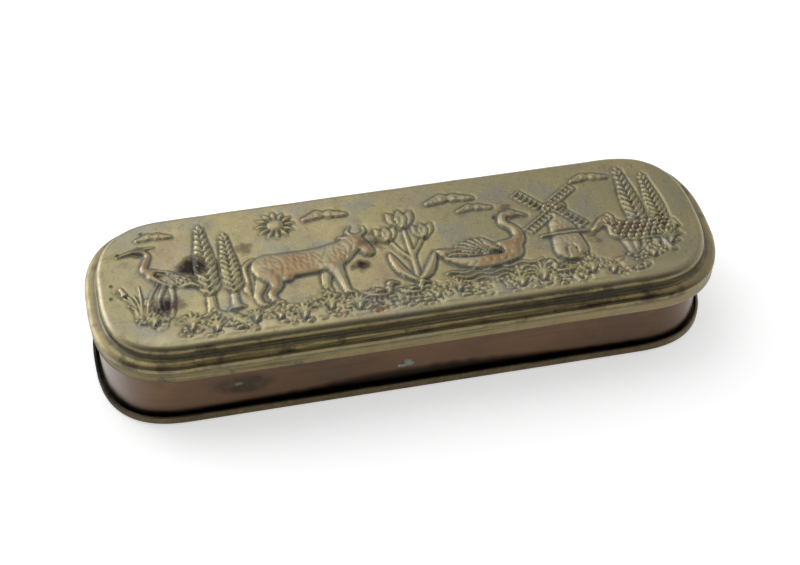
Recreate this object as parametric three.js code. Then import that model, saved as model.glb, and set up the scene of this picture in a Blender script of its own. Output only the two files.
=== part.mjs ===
// Long oblong tobacco box of sheet metal: a copper wall stands in a shallow brass tray, and a stamped
// brass lid with a moulded border and a skirt turns on a seven-knuckle hinge along the back.
// Millimetres, +Z up. The origin is the middle of the tray's underside, X runs along the box,
// and the hinge is at +Y.
import * as THREE from 'three';

// Plan of the lid's rim: two straight long sides joined by superelliptic ends.
const lidLength = 165;
const lidWidth = 55.3;
const endDepth = 24.7;
const endFullness = 2.6;
const endSteps = 36;

// The lid was hung a little to the right of the body.
const lidOffCentre = 1.3;

// Sheet thicknesses.
const lidSheet = 0.7;
const skirtSheet = 0.7;
const wallSheet = 0.7;
const traySheet = 0.8;
const bearerSheet = 0.7;

// Body: wall and tray.
const wallHeight = 19.9;
const lipHeight = 2.4;
const lipGap = 0.75;
const trayCorner = 0.6;

// Lid border, from the rim inwards: bead, ovolo, cove, upright flank, rounded shoulder, flat field.
const beadHeight = 1.3;
const beadBulge = 0.35;
const ovoloWidth = 2.05;
const ovoloDrop = 1.1;
const coveRadius = 0.8;
const flankHeight = 0.7;
const shoulderRadius = 1.8;
const skirtHeight = 3.05;
const skirtSetback = 0.5;

// Picture stamped into the field: height of the figures, of what stands behind them and of the ground,
// and the plain strip between the picture and the shoulder.
const figureHeight = 0.85;
const behindHeight = 0.5;
const groundHeight = 0.34;
const pictureMargin = 1.3;

// Clearances between lid and body.
const skirtClearance = 0.4;
const mouthClearance = 0.3;

// Hinge: tube knuckles on a pin, carried by two bearer strips.
const hingeLength = 70;
const knuckleCount = 7;
const knuckleRadius = 1.45;
const knuckleEndGap = 0.3;
const pinRadius = 0.8;
const pinClearance = 0.15;
const pinHeadRadius = 1.2;
const pinHeadLength = 0.6;
const pinEndPlay = 0.1;
const barrelStandOff = 0.3;
const troughClearance = 0.25;
const bearerSkirtGap = 0.4;
const bearerRimGap = 0.2;
const flangeHeight = 5;
const lidTroughEnd = THREE.MathUtils.degToRad(155);
const bodyTroughEnd = THREE.MathUtils.degToRad(290);

// Steps on small arcs, sides on round hinge parts, and facets of the stamped field along and across.
const arcSteps = 5;
const roundSides = 24;
const fieldColumns = 104;
const fieldRows = 30;

// Insets from the rim's plan, growing inwards.
const skirtOuter = skirtSetback;
const skirtInner = skirtOuter + skirtSheet;
const wallOuter = skirtInner + lidOffCentre + skirtClearance;
const wallInner = wallOuter + wallSheet;
const lipInner = wallOuter - lipGap;
const lipOuter = lipInner - traySheet;
const coveOuter = beadBulge + ovoloWidth;
const flankOuter = coveOuter + coveRadius;
const fieldEdge = flankOuter + shoulderRadius;

// Heights, growing upwards.
const mouthZ = traySheet + wallHeight;
const ledgeUnderZ = mouthZ + mouthClearance;
const ledgeZ = ledgeUnderZ + lidSheet;
const beadTopZ = ledgeZ - ovoloDrop;
const rimZ = beadTopZ - beadHeight;
const skirtFootZ = rimZ - skirtHeight;
const shoulderZ = ledgeZ + coveRadius + flankHeight;

// Hinge axis: level with the skirt's foot, with the barrel just clear of the skirt.
const skirtBackY = lidWidth / 2 - skirtOuter;
const wallBackY = lidWidth / 2 - wallOuter;
const axisY = skirtBackY + barrelStandOff + knuckleRadius;
const axisZ = skirtFootZ;

const brass = { color: 0x93895f, roughness: 0.42, metalness: 1 };
const wornBrass = { color: 0x857a50, roughness: 0.48, metalness: 1 };
const copper = { color: 0x6a4a3a, roughness: 0.38, metalness: 1 };
const wire = { color: 0x7d7354, roughness: 0.4, metalness: 1 };

// Points of the plan, anticlockwise, moved inwards along the rim's own normals.
// Each end is stepped by equal turns of its normal, so the facets turn evenly.
function planPoints(inset) {
  const halfWidth = lidWidth / 2;
  const straight = lidLength / 2 - endDepth;
  const power = 1 / (endFullness - 1);
  const points = [];
  for (const side of [1, -1]) {
    for (let i = 0; i <= endSteps; i += 1) {
      const turn = Math.PI * (i / endSteps - 0.5);
      const outX = Math.max(Math.cos(turn), 0);
      const outY = Math.sin(turn);
      const shareX = (endDepth * outX) ** power;
      const shareY = (halfWidth * Math.abs(outY)) ** power;
      const size = (shareX ** endFullness + shareY ** endFullness) ** (1 / endFullness);
      const x = straight + (endDepth * shareX) / size - inset * outX;
      const y = (Math.sign(outY) * halfWidth * shareY) / size - inset * outY;
      points.push(new THREE.Vector2(side * x, side * y));
    }
  }
  return points;
}

// Flat cap over a ring whose points are the last ones in the list.
function flatTop(ring, height, positions, index) {
  const first = positions.length / 3 - ring.length;
  THREE.ShapeUtils.triangulateShape(ring, []).forEach((face) => {
    index.push(...face.map((k) => first + k));
  });
}

// A solid swept round the plan from a section of [inset, height] points that runs outwards, up and
// back in. A closed section makes a band; an open one is shut by a flat cap at its first point.
// The cap at its last point is flat too, unless a function is given that makes it.
function sweepPlan(section, closed, makeTop = flatTop) {
  const rings = section.map(([inset]) => planPoints(inset));
  const count = rings[0].length;
  const positions = [];
  rings.forEach((ring, j) => ring.forEach((p) => positions.push(p.x, p.y, section[j][1])));
  const index = [];
  const spans = closed ? section.length : section.length - 1;
  for (let j = 0; j < spans; j += 1) {
    const low = j * count;
    const high = ((j + 1) % section.length) * count;
    for (let i = 0; i < count; i += 1) {
      const next = (i + 1) % count;
      index.push(low + i, low + next, high + next);
      index.push(low + i, high + next, high + i);
    }
  }
  if (!closed) {
    THREE.ShapeUtils.triangulateShape(rings[0], []).forEach(([a, b, c]) => index.push(a, c, b));
    makeTop(rings.at(-1), section.at(-1)[1], positions, index);
  }
  const geometry = new THREE.BufferGeometry();
  geometry.setAttribute('position', new THREE.Float32BufferAttribute(positions, 3));
  geometry.setIndex(index);
  geometry.computeVertexNormals();
  return geometry;
}

// Points on an elliptic arc in a section, from one angle to another in quarter turns.
function sectionArc(centre, radii, fromQuarter, toQuarter) {
  const points = [];
  for (let i = 0; i <= arcSteps; i += 1) {
    const angle = (Math.PI / 2) * (fromQuarter + ((toQuarter - fromQuarter) * i) / arcSteps);
    points.push([centre[0] + radii[0] * Math.cos(angle), centre[1] + radii[1] * Math.sin(angle)]);
  }
  return points;
}

// A plain upright band between two insets.
function bandSection(outer, inner, foot, top) {
  return [[outer, foot], [outer, top], [inner, top], [inner, foot]];
}

// Stamped lid: underside from the hollow of the field out to the folded rim, then the moulding back up
// to the field.
function lidSection() {
  const underRadius = shoulderRadius - lidSheet;
  return [
    ...sectionArc([fieldEdge, shoulderZ], [underRadius, underRadius], 1, 2),
    [flankOuter + lidSheet, ledgeUnderZ],
    [skirtInner, ledgeUnderZ],
    [skirtInner, rimZ],
    ...sectionArc([beadBulge, rimZ + beadHeight / 2], [beadBulge, beadHeight / 2], 3, 1),
    ...sectionArc([coveOuter, beadTopZ], [ovoloWidth, ovoloDrop], 2, 1).slice(1),
    ...sectionArc([coveOuter, ledgeZ + coveRadius], [coveRadius, coveRadius], 3, 4).slice(1),
    ...sectionArc([fieldEdge, shoulderZ], [shoulderRadius, shoulderRadius], 2, 1),
  ];
}

// The picture is drawn from the field's middle, in squares of which the field has this many.
const squaresLong = 155;
const squaresWide = 45.3;
const squareSize = Math.min(
  (lidLength - 2 * fieldEdge) / squaresLong,
  (lidWidth - 2 * fieldEdge) / squaresWide,
);

// Figures, each about its own middle, as strokes of [x, y, radius]. Far strokes lie behind near ones.
const heron = {
  far: [
    [[0.4, -3, 0.8], [0.6, -8, 0.7], [-0.4, -14, 0.6]],
    [[-1.5, -2.6, 0.8], [-3.2, -7.4, 0.7], [-2.8, -13.8, 0.6]],
  ],
  near: [
    [[4.6, -2, 1.8], [0, 0.2, 3], [-3.4, 2.2, 2.2]],
    [[4.6, -2.2, 1.6], [8.4, -4.6, 0.4]],
    [[-3.8, 3, 1.7], [-6.2, 5.2, 1.1], [-5.4, 8.2, 1], [-4.6, 10.8, 1], [-6.4, 12.8, 1]],
    [[-6.8, 13, 1.25], [-9, 12.9, 0.8], [-13, 11.9, 0.4]],
  ],
};
const cow = {
  far: [
    [[5.6, -3.2, 1.9], [4.2, -8.4, 1.1], [5, -12.6, 0.8], [6.2, -13.1, 0.7]],
    [[-10.8, -2.5, 2.2], [-12.6, -7, 1.3], [-13.6, -9.8, 0.9], [-12.8, -13, 0.8]],
    [[-13, 3.8, 0.8], [-15.4, 1.6, 0.7], [-15.2, -3.8, 0.6], [-15.8, -6.6, 0.9]],
  ],
  near: [
    [[-9.3, 0.6, 4.5], [-3, 0, 4.6], [4, 0.3, 4.4], [8.5, 1.6, 4]],
    [[9, 1.9, 3.8], [13.2, 4.6, 2.8]],
    [[14.2, 5.6, 2.3], [15.9, 3.4, 1.9], [17, 0.9, 1.5]],
    [[15.2, 7.2, 0.7], [17.2, 8.6, 0.6], [17.2, 10.8, 0.4]],
    [[14, 7.4, 0.7], [12.8, 9.4, 0.6], [13.8, 11.4, 0.4]],
    [[7.4, -3, 2.2], [8.4, -8, 1.2], [9.2, -12.6, 0.9], [10.6, -13.1, 0.75]],
    [[-9.6, -2, 3], [-8.2, -6.8, 1.6], [-10, -9.8, 1.05], [-9, -13, 0.9], [-7.8, -13.2, 0.7]],
    [[-5.2, -4.6, 1.5]],
  ],
};
const swan = {
  far: [],
  near: [
    [[6.8, 0.2, 4], [0.6, -0.8, 4.3], [-6, 0.4, 3.2], [-11.6, 3.8, 0.4]],
    [[8.2, 1.6, 2.4], [10.8, 4.6, 1.6], [10.4, 8, 1.3], [8.2, 10.8, 1.2], [8.6, 13.6, 1.2]],
    [[8.8, 13.8, 1.2], [11, 14, 1.4], [12.6, 13.6, 0.8], [14.8, 12.6, 0.4]],
    [[4.6, 1.6, 1.6], [-2, 3, 1.4], [-6, 3.4, 0.6]],
  ],
};
const ram = {
  far: [
    [[-5.5, -3, 1.4], [-5.8, -8.4, 0.9], [-6.8, -9.2, 0.7]],
    [[5.5, -3, 1.4], [5.2, -8.4, 0.9], [6.4, -9.2, 0.7]],
    [[-3, -3, 1.2], [-2.4, -8.2, 0.8]],
    [[3, -3, 1.2], [3.4, -8.2, 0.8]],
  ],
  near: [
    [[-6, 0.4, 4], [0, 0.1, 4.2], [5.5, 0.8, 3.9]],
    [[6.2, 3, 2.6], [8.8, 5.4, 2]],
    [[9.2, 6, 1.8], [11.4, 4.4, 1.3], [12.8, 3, 0.95]],
    [[-9.4, 2.2, 1.3], [-10.6, 0, 0.7]],
    [[7.8, 8.2, 0.8], [6.7, 6.6, 0.7], [8.2, 5.2, 0.7]],
  ],
};
const mill = {
  far: [0.66, 2.23, 3.8, 5.37].map((turn) => {
    const across = new THREE.Vector2(2.8, 1.1).rotateAround(new THREE.Vector2(), turn);
    const tip = new THREE.Vector2(10.6, 1.1).rotateAround(new THREE.Vector2(), turn);
    return [[across.x - 1.4, across.y + 6.2, 1.4], [tip.x - 1.4, tip.y + 6.2, 1.4]];
  }),
  near: [
    [[0, -10, 4.4], [0, -3, 3.5], [0, 4, 2.8]],
    [[-1.6, 6.4, 1.9], [1.4, 7, 1.7]],
    [[-6, -4, 0.7], [6, -4, 0.7]],
  ],
};
const poplar = {
  far: [
    [[-0.3, 0, 1.3], [0, 12, 0.8]],
    [[0, 7, 0.8], [0, 14, 2.9], [0, 21, 2.8], [0, 29, 1.3], [0, 33, 0.4]],
  ],
  near: [[[0, 9, 0.7], [0, 18, 1.5], [0, 28, 0.6]]],
};
const tulip = {
  far: [
    [[0, -14.5, 0.9], [0.3, -6, 0.7], [0, 7, 0.7]],
    [[0.2, -6, 0.6], [-2.6, -1.5, 0.6], [-4.6, 3.2, 0.6]],
    [[0.2, -4.5, 0.6], [2.8, -0.5, 0.6], [4.6, 2.6, 0.6]],
    [[0, 7.6, 1.4], [0, 10, 2.4], [0, 13, 1.7]],
    [[-4.8, 3.2, 1.1], [-4.8, 5.2, 1.9], [-4.8, 7.6, 1.3]],
    [[4.8, 2.6, 1.1], [4.8, 4.6, 1.9], [4.8, 7, 1.3]],
  ],
  near: [
    [[-0.4, -13.5, 0.6], [-3.4, -9.5, 1.3], [-5.2, -4, 0.9]],
    [[0.4, -13.5, 0.6], [3.2, -10.5, 1.3], [5.4, -6, 0.9]],
  ],
};
const duck = {
  far: [],
  near: [
    [[-4.4, 1.4, 0.4], [-2.4, 0.4, 1.2], [0.2, 0, 1.7], [2, 0.8, 1.3], [2.8, 2.4, 0.8], [3.2, 3.4, 0.9]],
  ],
};
const sun = { far: [[[0, 0, 2.8]]], near: [] };
const cloud = {
  far: [[[-5.2, -0.4, 0.8], [-1.6, 0.7, 1.6], [1.5, 0.5, 1.5], [5.6, -0.5, 0.7]]],
  near: [],
};

// Where each figure stands on the drawing and how large it is there; minus faces it the other way.
const picture = [
  [poplar, -51, -13.5, 1], [poplar, -45, -12.6, 0.85], [poplar, 63, -12, 0.95], [poplar, 69, -11.5, 0.83],
  [mill, 42.5, 0.5, 1], [heron, -61, 0.5, 0.92], [cow, -26, -0.6, 1], [swan, 19.5, -7, 1],
  [ram, 62.5, -6.3, -0.92], [tulip, 1.5, 0.6, 1], [sun, -31, 15.6, 1], [cloud, -18, 16.4, 1],
  [cloud, 15.5, 15.8, 1.1], [cloud, 21.5, 11, 0.8], [cloud, 54.5, 16.6, 0.9], [cloud, -63, 17.2, 0.8],
  [duck, -9, -15.6, 0.95], [duck, -0.5, -16.2, 0.8], [duck, 39, -16.4, -0.9],
];

// Layers of the picture in the order they were struck, each with its strokes set in place and smoothed,
// its height, the width of its rounded edge, and the part of the drawing that it covers.
const layers = picture.flatMap(([figure, x, y, size]) => {
  const scale = Math.abs(size);
  const place = (stroke) => {
    const spots = stroke.map(([a, b, r]) => new THREE.Vector3(x + a * size, y + b * scale, r * scale));
    if (spots.length < 3) return spots;
    return new THREE.CatmullRomCurve3(spots, false, 'catmullrom').getPoints(4 * (spots.length - 1));
  };
  return [[figure.far, behindHeight, 1.5], [figure.near, figureHeight, 2.3]]
    .filter(([strokes]) => strokes.length > 0)
    .map(([strokes, height, edge]) => {
      const placed = strokes.map(place);
      const cover = new THREE.Box2();
      placed.flat().forEach((spot) => {
        cover.expandByPoint(new THREE.Vector2(spot.x - spot.z, spot.y - spot.z));
        cover.expandByPoint(new THREE.Vector2(spot.x + spot.z, spot.y + spot.z));
      });
      return { strokes: placed, height, edge, cover };
    });
});

// How far a point lies outside a stroke; inside it is negative.
function strokeDistance(point, spots) {
  let nearest = Infinity;
  spots.forEach((start, i) => {
    const end = spots[i + 1] ?? start;
    const along = new THREE.Vector2(end.x - start.x, end.y - start.y);
    const from = new THREE.Vector2(point.x - start.x, point.y - start.y);
    const share = THREE.MathUtils.clamp(from.dot(along) / (along.lengthSq() || 1), 0, 1);
    const gap = from.addScaledVector(along, -share).length();
    nearest = Math.min(nearest, gap - THREE.MathUtils.lerp(start.z, end.z, share));
  });
  return nearest;
}

// Height of the picture at one point of the drawing: a line of low hills, then each layer as a dome with
// rounded edges, over which what lies behind shows a little.
function heightAt(point) {
  const hills = -14.6 + 1.2 * Math.sin(point.x * 0.21 + 0.6) + 0.8 * Math.sin(point.x * 0.53 + 2);
  let height = groundHeight * THREE.MathUtils.smoothstep(hills - point.y, 0, 1.1);
  layers.forEach((layer) => {
    if (!layer.cover.containsPoint(point)) return;
    const outside = Math.min(...layer.strokes.map((spots) => strokeDistance(point, spots)));
    if (outside > 0) return;
    const inwards = Math.min(-outside / layer.edge, 1);
    height = layer.height * Math.sqrt(1 - (1 - inwards) ** 2) + 0.3 * height;
  });
  return height;
}

// Mean height round a corner of the grid, so that thin strokes are not lost between corners.
function pictureHeight(x, y, reachX, reachY) {
  let sum = 0;
  for (const stepX of [-1, 0, 1]) {
    for (const stepY of [-1, 0, 1]) {
      const point = new THREE.Vector2(x + (stepX * reachX) / 3, y + (stepY * reachY) / 3);
      sum += heightAt(point.divideScalar(squareSize));
    }
  }
  return sum / 9;
}

// Half the width of an outline at x, between its points on the upper side.
function halfWidthAt(outline, x) {
  const upper = outline.filter((p) => p.y >= 0).sort((a, b) => a.x - b.x);
  const next = Math.max(upper.findIndex((p) => p.x >= x), 1);
  const [a, b] = [upper[next - 1], upper[next]];
  return THREE.MathUtils.mapLinear(x, a.x, b.x, a.y, b.y);
}

// Top of the lid: a plain strip inside the shoulder, then a grid of facets that carries the picture.
// Each square of the grid is split along the diagonal whose ends differ less in height.
function stampedTop(ring, height, positions, index) {
  const ringStart = positions.length / 3 - ring.length;
  const gridStart = ringStart + ring.length;
  const outline = planPoints(fieldEdge + pictureMargin);
  const halfLength = lidLength / 2 - fieldEdge - 2 * pictureMargin;
  const corner = (i, j) => gridStart + i * (fieldRows + 1) + j;
  const rises = [];
  for (let i = 0; i <= fieldColumns; i += 1) {
    const x = halfLength * ((2 * i) / fieldColumns - 1);
    const halfWidth = halfWidthAt(outline, x);
    for (let j = 0; j <= fieldRows; j += 1) {
      const y = halfWidth * ((2 * j) / fieldRows - 1);
      const inside = i > 0 && i < fieldColumns && j > 0 && j < fieldRows;
      const rise = inside
        ? pictureHeight(x, y, (2 * halfLength) / fieldColumns, (2 * halfWidth) / fieldRows)
        : 0;
      rises.push(rise);
      positions.push(x, y, height + rise);
    }
  }
  for (let i = 0; i < fieldColumns; i += 1) {
    for (let j = 0; j < fieldRows; j += 1) {
      const [a, b, c, d] = [corner(i, j), corner(i + 1, j), corner(i + 1, j + 1), corner(i, j + 1)];
      const drop = (p, q) => Math.abs(rises[p - gridStart] - rises[q - gridStart]);
      if (drop(a, c) <= drop(b, d)) index.push(a, b, c, a, c, d);
      else index.push(a, b, d, b, c, d);
    }
  }
  const edge = [];
  for (let i = 0; i < fieldColumns; i += 1) edge.push(corner(i, 0));
  for (let j = 0; j < fieldRows; j += 1) edge.push(corner(fieldColumns, j));
  for (let i = fieldColumns; i > 0; i -= 1) edge.push(corner(i, fieldRows));
  for (let j = fieldRows; j > 0; j -= 1) edge.push(corner(0, j));
  const edgePoints = edge.map((k) => new THREE.Vector2(positions[3 * k], positions[3 * k + 1]));
  const strip = [...ring.map((point, k) => ringStart + k), ...edge];
  THREE.ShapeUtils.triangulateShape(ring, [edgePoints]).forEach((face) => {
    index.push(...face.map((k) => strip[k]));
  });
}

// Tray: flat underside, small rounded corner, upstanding lip, flat floor.
function traySection() {
  return [
    ...sectionArc([lipOuter + trayCorner, trayCorner], [trayCorner, trayCorner], 3, 2),
    [lipOuter, lipHeight],
    [lipInner, lipHeight],
    [lipInner, traySheet],
  ];
}

// A shape drawn in the Y-Z plane and run along X, centred on x = 0.
function runAlongX(shape, length) {
  const settings = { depth: length, bevelEnabled: false, curveSegments: roundSides };
  const geometry = new THREE.ExtrudeGeometry(shape, settings);
  geometry.translate(0, 0, -length / 2);
  geometry.applyMatrix4(
    new THREE.Matrix4().makeBasis(
      new THREE.Vector3(0, 1, 0),
      new THREE.Vector3(0, 0, 1),
      new THREE.Vector3(1, 0, 0),
    ),
  );
  return geometry;
}

const troughRadius = knuckleRadius + troughClearance;

// Body bearer: a flange flat on the wall, a shelf under the skirt and a trough under the barrel.
function bodyBearerShape() {
  const shelfTop = -bearerSkirtGap;
  const shelfUnder = shelfTop - bearerSheet;
  const outerRadius = troughRadius + bearerSheet;
  const troughStart = Math.PI - Math.asin(shelfTop / troughRadius);
  const underStart = Math.PI - Math.asin(shelfUnder / outerRadius);
  const flangeFoot = axisZ + shelfTop - flangeHeight;
  const shape = new THREE.Shape();
  shape.moveTo(wallBackY, flangeFoot);
  shape.lineTo(wallBackY + bearerSheet, flangeFoot);
  shape.lineTo(wallBackY + bearerSheet, axisZ + shelfUnder);
  shape.absarc(axisY, axisZ, outerRadius, underStart, bodyTroughEnd, false);
  shape.absarc(axisY, axisZ, troughRadius, bodyTroughEnd, troughStart, true);
  shape.lineTo(wallBackY, axisZ + shelfTop);
  return shape;
}

// Lid bearer: a plate flat on the skirt, hollowed below to follow the barrel.
function lidBearerShape() {
  const plateY = skirtBackY + bearerSheet;
  const plateTop = rimZ - bearerRimGap;
  const outerRadius = troughRadius + bearerSheet;
  const lipAngle = Math.PI - Math.acos((axisY - plateY) / outerRadius);
  const shape = new THREE.Shape();
  shape.moveTo(skirtBackY, plateTop);
  shape.lineTo(skirtBackY, axisZ + troughRadius * Math.sin(lidTroughEnd));
  shape.absarc(axisY, axisZ, troughRadius, lidTroughEnd, lipAngle, true);
  shape.lineTo(plateY, axisZ + outerRadius * Math.sin(lipAngle));
  shape.lineTo(plateY, plateTop);
  return shape;
}

function knuckleShape() {
  const shape = new THREE.Shape();
  shape.absarc(axisY, axisZ, knuckleRadius, 0, Math.PI * 2, false);
  const bore = new THREE.Path();
  bore.absarc(axisY, axisZ, pinRadius + pinClearance, 0, Math.PI * 2, true);
  shape.holes.push(bore);
  return shape;
}

// Pin wire with a hammered head at each end.
function pinGeometry() {
  const neck = hingeLength / 2 - knuckleEndGap / 2 + pinEndPlay;
  const end = neck + pinHeadLength;
  const rise = pinHeadLength / 2;
  const half = [
    [0, end],
    [pinHeadRadius - rise, end],
    [pinHeadRadius, end - rise],
    [pinHeadRadius, neck],
    [pinRadius, neck],
  ];
  const lower = half.map(([radius, along]) => new THREE.Vector2(radius, -along));
  const upper = half.map(([radius, along]) => new THREE.Vector2(radius, along)).reverse();
  const geometry = new THREE.LatheGeometry([...lower, ...upper], roundSides);
  geometry.applyMatrix4(
    new THREE.Matrix4().makeBasis(
      new THREE.Vector3(0, 1, 0),
      new THREE.Vector3(1, 0, 0),
      new THREE.Vector3(0, 0, -1),
    ),
  );
  geometry.translate(0, axisY, axisZ);
  return geometry;
}

function addMesh(parent, name, geometry, finish) {
  const mesh = new THREE.Mesh(geometry, new THREE.MeshStandardMaterial(finish));
  mesh.name = name;
  parent.add(mesh);
  return mesh;
}

const tobaccoBox = new THREE.Group();

addMesh(tobaccoBox, 'base_tray', sweepPlan(traySection(), false), wornBrass);
const wallSection = bandSection(wallOuter, wallInner, traySheet, mouthZ);
addMesh(tobaccoBox, 'body_wall', sweepPlan(wallSection, true), copper);

const lid = new THREE.Group();
lid.position.x = lidOffCentre;
tobaccoBox.add(lid);
addMesh(lid, 'lid_panel', sweepPlan(lidSection(), false, stampedTop), brass);
const skirtSection = bandSection(skirtOuter, skirtInner, skirtFootZ, rimZ);
addMesh(lid, 'lid_skirt', sweepPlan(skirtSection, true), brass);

addMesh(tobaccoBox, 'hinge_body_bearer', runAlongX(bodyBearerShape(), hingeLength), wornBrass);
addMesh(tobaccoBox, 'hinge_lid_bearer', runAlongX(lidBearerShape(), hingeLength), wornBrass);
addMesh(tobaccoBox, 'hinge_pin', pinGeometry(), wire);

// Knuckles along the pin, turn about on the body and on the lid, with body knuckles at both ends.
const knucklePitch = hingeLength / knuckleCount;
for (let i = 0; i < knuckleCount; i += 1) {
  const owner = i % 2 === 0 ? 'body' : 'lid';
  const order = Math.floor(i / 2) + 1;
  const tube = runAlongX(knuckleShape(), knucklePitch - knuckleEndGap);
  const knuckle = addMesh(tobaccoBox, `hinge_${owner}_knuckle_${order}`, tube, wornBrass);
  knuckle.position.x = (i - (knuckleCount - 1) / 2) * knucklePitch;
}

export default tobaccoBox;
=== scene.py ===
import math

import bpy
import numpy as np
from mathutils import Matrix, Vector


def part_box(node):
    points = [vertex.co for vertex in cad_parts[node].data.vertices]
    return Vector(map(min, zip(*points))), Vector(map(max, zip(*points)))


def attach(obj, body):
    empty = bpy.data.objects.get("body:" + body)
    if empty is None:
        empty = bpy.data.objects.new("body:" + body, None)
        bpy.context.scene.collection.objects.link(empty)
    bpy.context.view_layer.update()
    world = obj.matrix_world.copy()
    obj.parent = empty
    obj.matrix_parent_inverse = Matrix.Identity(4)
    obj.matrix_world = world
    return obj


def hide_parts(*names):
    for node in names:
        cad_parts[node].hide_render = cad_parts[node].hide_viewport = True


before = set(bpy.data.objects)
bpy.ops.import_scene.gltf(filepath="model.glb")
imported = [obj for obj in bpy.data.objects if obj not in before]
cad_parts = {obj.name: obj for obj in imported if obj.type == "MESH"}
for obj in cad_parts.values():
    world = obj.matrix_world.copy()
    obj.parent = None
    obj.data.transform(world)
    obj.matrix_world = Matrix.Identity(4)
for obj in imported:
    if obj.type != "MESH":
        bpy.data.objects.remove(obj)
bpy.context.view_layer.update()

# Long oblong tobacco box: copper wall in a brass tray, stamped brass lid on a hinge along the back.
# Shapes are worked out in millimetres and go into Blender in metres.
mm = 0.001
print("frame loaded:", len(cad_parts), "CAD nodes")


# plain helpers

def boxOf(node):
    low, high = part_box(node)
    return np.array(low) / mm, np.array(high) / mm


def linearColour(hexText):
    values = [int(hexText[i:i + 2], 16) / 255 for i in (1, 3, 5)]
    return (*(v / 12.92 if v <= 0.04045 else ((v + 0.055) / 1.055) ** 2.4 for v in values), 1.0)


def addNode(tree, kind, inputs=None, **settings):
    node = tree.nodes.new(kind)
    for key, value in settings.items():
        setattr(node, key, value)
    for key, value in (inputs or {}).items():
        if isinstance(value, bpy.types.NodeSocket):
            tree.links.new(value, node.inputs[key])
        else:
            node.inputs[key].default_value = value
    return node


def arcPoints(centre, radii, fromDegrees, toDegrees, steps):
    angles = np.radians(np.linspace(fromDegrees, toDegrees, steps + 1))
    return [(centre[0] + radii[0] * math.cos(a), centre[1] + radii[1] * math.sin(a)) for a in angles]


def makePiece(name, points, faces, body, material, replaced=(), layers=None):
    mesh = bpy.data.meshes.new(name)
    mesh.from_pydata((np.asarray(points) * mm).tolist(), [], faces)
    mesh.polygons.foreach_set("use_smooth", np.ones(len(mesh.polygons), bool))
    for layer, values in (layers or {}).items():
        mesh.attributes.new(layer, "FLOAT", "POINT").data.foreach_set("value", np.asarray(values, np.float32))
    mesh.materials.append(material)
    mesh.update()
    piece = bpy.data.objects.new(name, mesh)
    bpy.context.scene.collection.objects.link(piece)
    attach(piece, body)
    if replaced:
        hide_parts(*replaced)
    return piece


# plan of the box: two straight long sides joined by superelliptic ends

boxPlan = {
    "endDepth": 24.7,     # reach of each rounded end, from the tip inwards
    "endFullness": 2.6,   # 2 is an ellipse, more is squarer
    "traceSteps": 1200,   # fine steps on each end, before even spacing
}
rimLow, rimHigh = boxOf("lid_panel")
rimHalf = (rimHigh - rimLow) / 2
lidCentreX = (rimLow[0] + rimHigh[0]) / 2


def planCurve(count):
    depth, full = boxPlan["endDepth"], boxPlan["endFullness"]
    turn = np.linspace(-math.pi / 2, math.pi / 2, boxPlan["traceSteps"] + 1)
    outX, outY = np.clip(np.cos(turn), 0, None), np.sin(turn)
    shareX = (depth * outX) ** (1 / (full - 1))
    shareY = (rimHalf[1] * np.abs(outY)) ** (1 / (full - 1))
    size = (shareX ** full + shareY ** full) ** (1 / full)
    endX = rimHalf[0] - depth + depth * shareX / size
    endY = np.sign(outY) * rimHalf[1] * shareY / size
    end = np.array([endX, endY, outX, outY]).T
    loop = np.vstack([end, -end, end[:1]])
    along = np.append(0, np.cumsum(np.hypot(*np.diff(loop[:, :2], axis=0).T)))
    tip = along[boxPlan["traceSteps"] // 2]
    wanted = (tip + along[-1] * np.arange(count) / count) % along[-1]
    return np.array([np.interp(wanted, along, column) for column in loop.T]).T


# one ring of points round the plan, moved inwards by inset; it starts at the right tip and runs anticlockwise
def planRing(curve, inset, height, shiftX=0.0):
    x = curve[:, 0] - inset * curve[:, 2] + shiftX
    y = curve[:, 1] - inset * curve[:, 3]
    return np.array([x, y, np.broadcast_to(height, x.shape)]).T


# rings that carry a flat panel from its edge to a line along the middle, so no point is crowded
def panelRings(edge, count, squeeze=0.1):
    middle = edge[:, 0].mean()
    rings = []
    for t in np.arange(1, count + 1) / count:
        ring = edge.copy()
        ring[:, 0] = middle + (edge[:, 0] - middle) * (1 - squeeze * t)
        ring[:, 1] = edge[:, 1] * (1 - t)
        rings.append(ring if t < 1 else ring[:len(edge) // 2 + 1])
    return rings


# faces between rings that run under, out, up and back in; a ring may have half the points of its neighbour,
# or be the folded line along a panel's middle. The ends stay open, meet (closed) or are filled (capped).
def joinRings(rings, closed=False, capped=False):
    starts = np.append(0, np.cumsum([len(ring) for ring in rings]))
    pairs = [(j, j + 1) for j in range(len(rings) - 1)]
    if closed:
        pairs.append((len(rings) - 1, 0))
    faces = []
    for j, k in pairs:
        low, high, n, m = starts[j], starts[k], len(rings[j]), len(rings[k])
        fewer, more = min(n, m), max(n, m)
        a = np.arange(fewer if more == 2 * fewer else more)
        after = (a + 1) % len(a)
        folded, foldedAfter = np.minimum(a, more - a), np.minimum(after, more - after)
        if n == m:
            corners = [low + a, low + after, high + after, high + a]
        elif m == 2 * n:
            corners = [low + a, low + after, high + 2 * after, high + 2 * a + 1, high + 2 * a]
        elif n == 2 * m:
            corners = [low + 2 * a, low + 2 * a + 1, low + 2 * after, high + after, high + a]
        elif n == more:
            corners = [low + a, low + after, high + foldedAfter, high + folded]
        else:
            corners = [low + folded, low + foldedAfter, high + after, high + a]
        faces += np.array(corners).T.tolist()
    if capped:
        faces.append(list(range(starts[1]))[::-1])
        faces.append(list(range(starts[-2], starts[-1])))
    return faces


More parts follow.
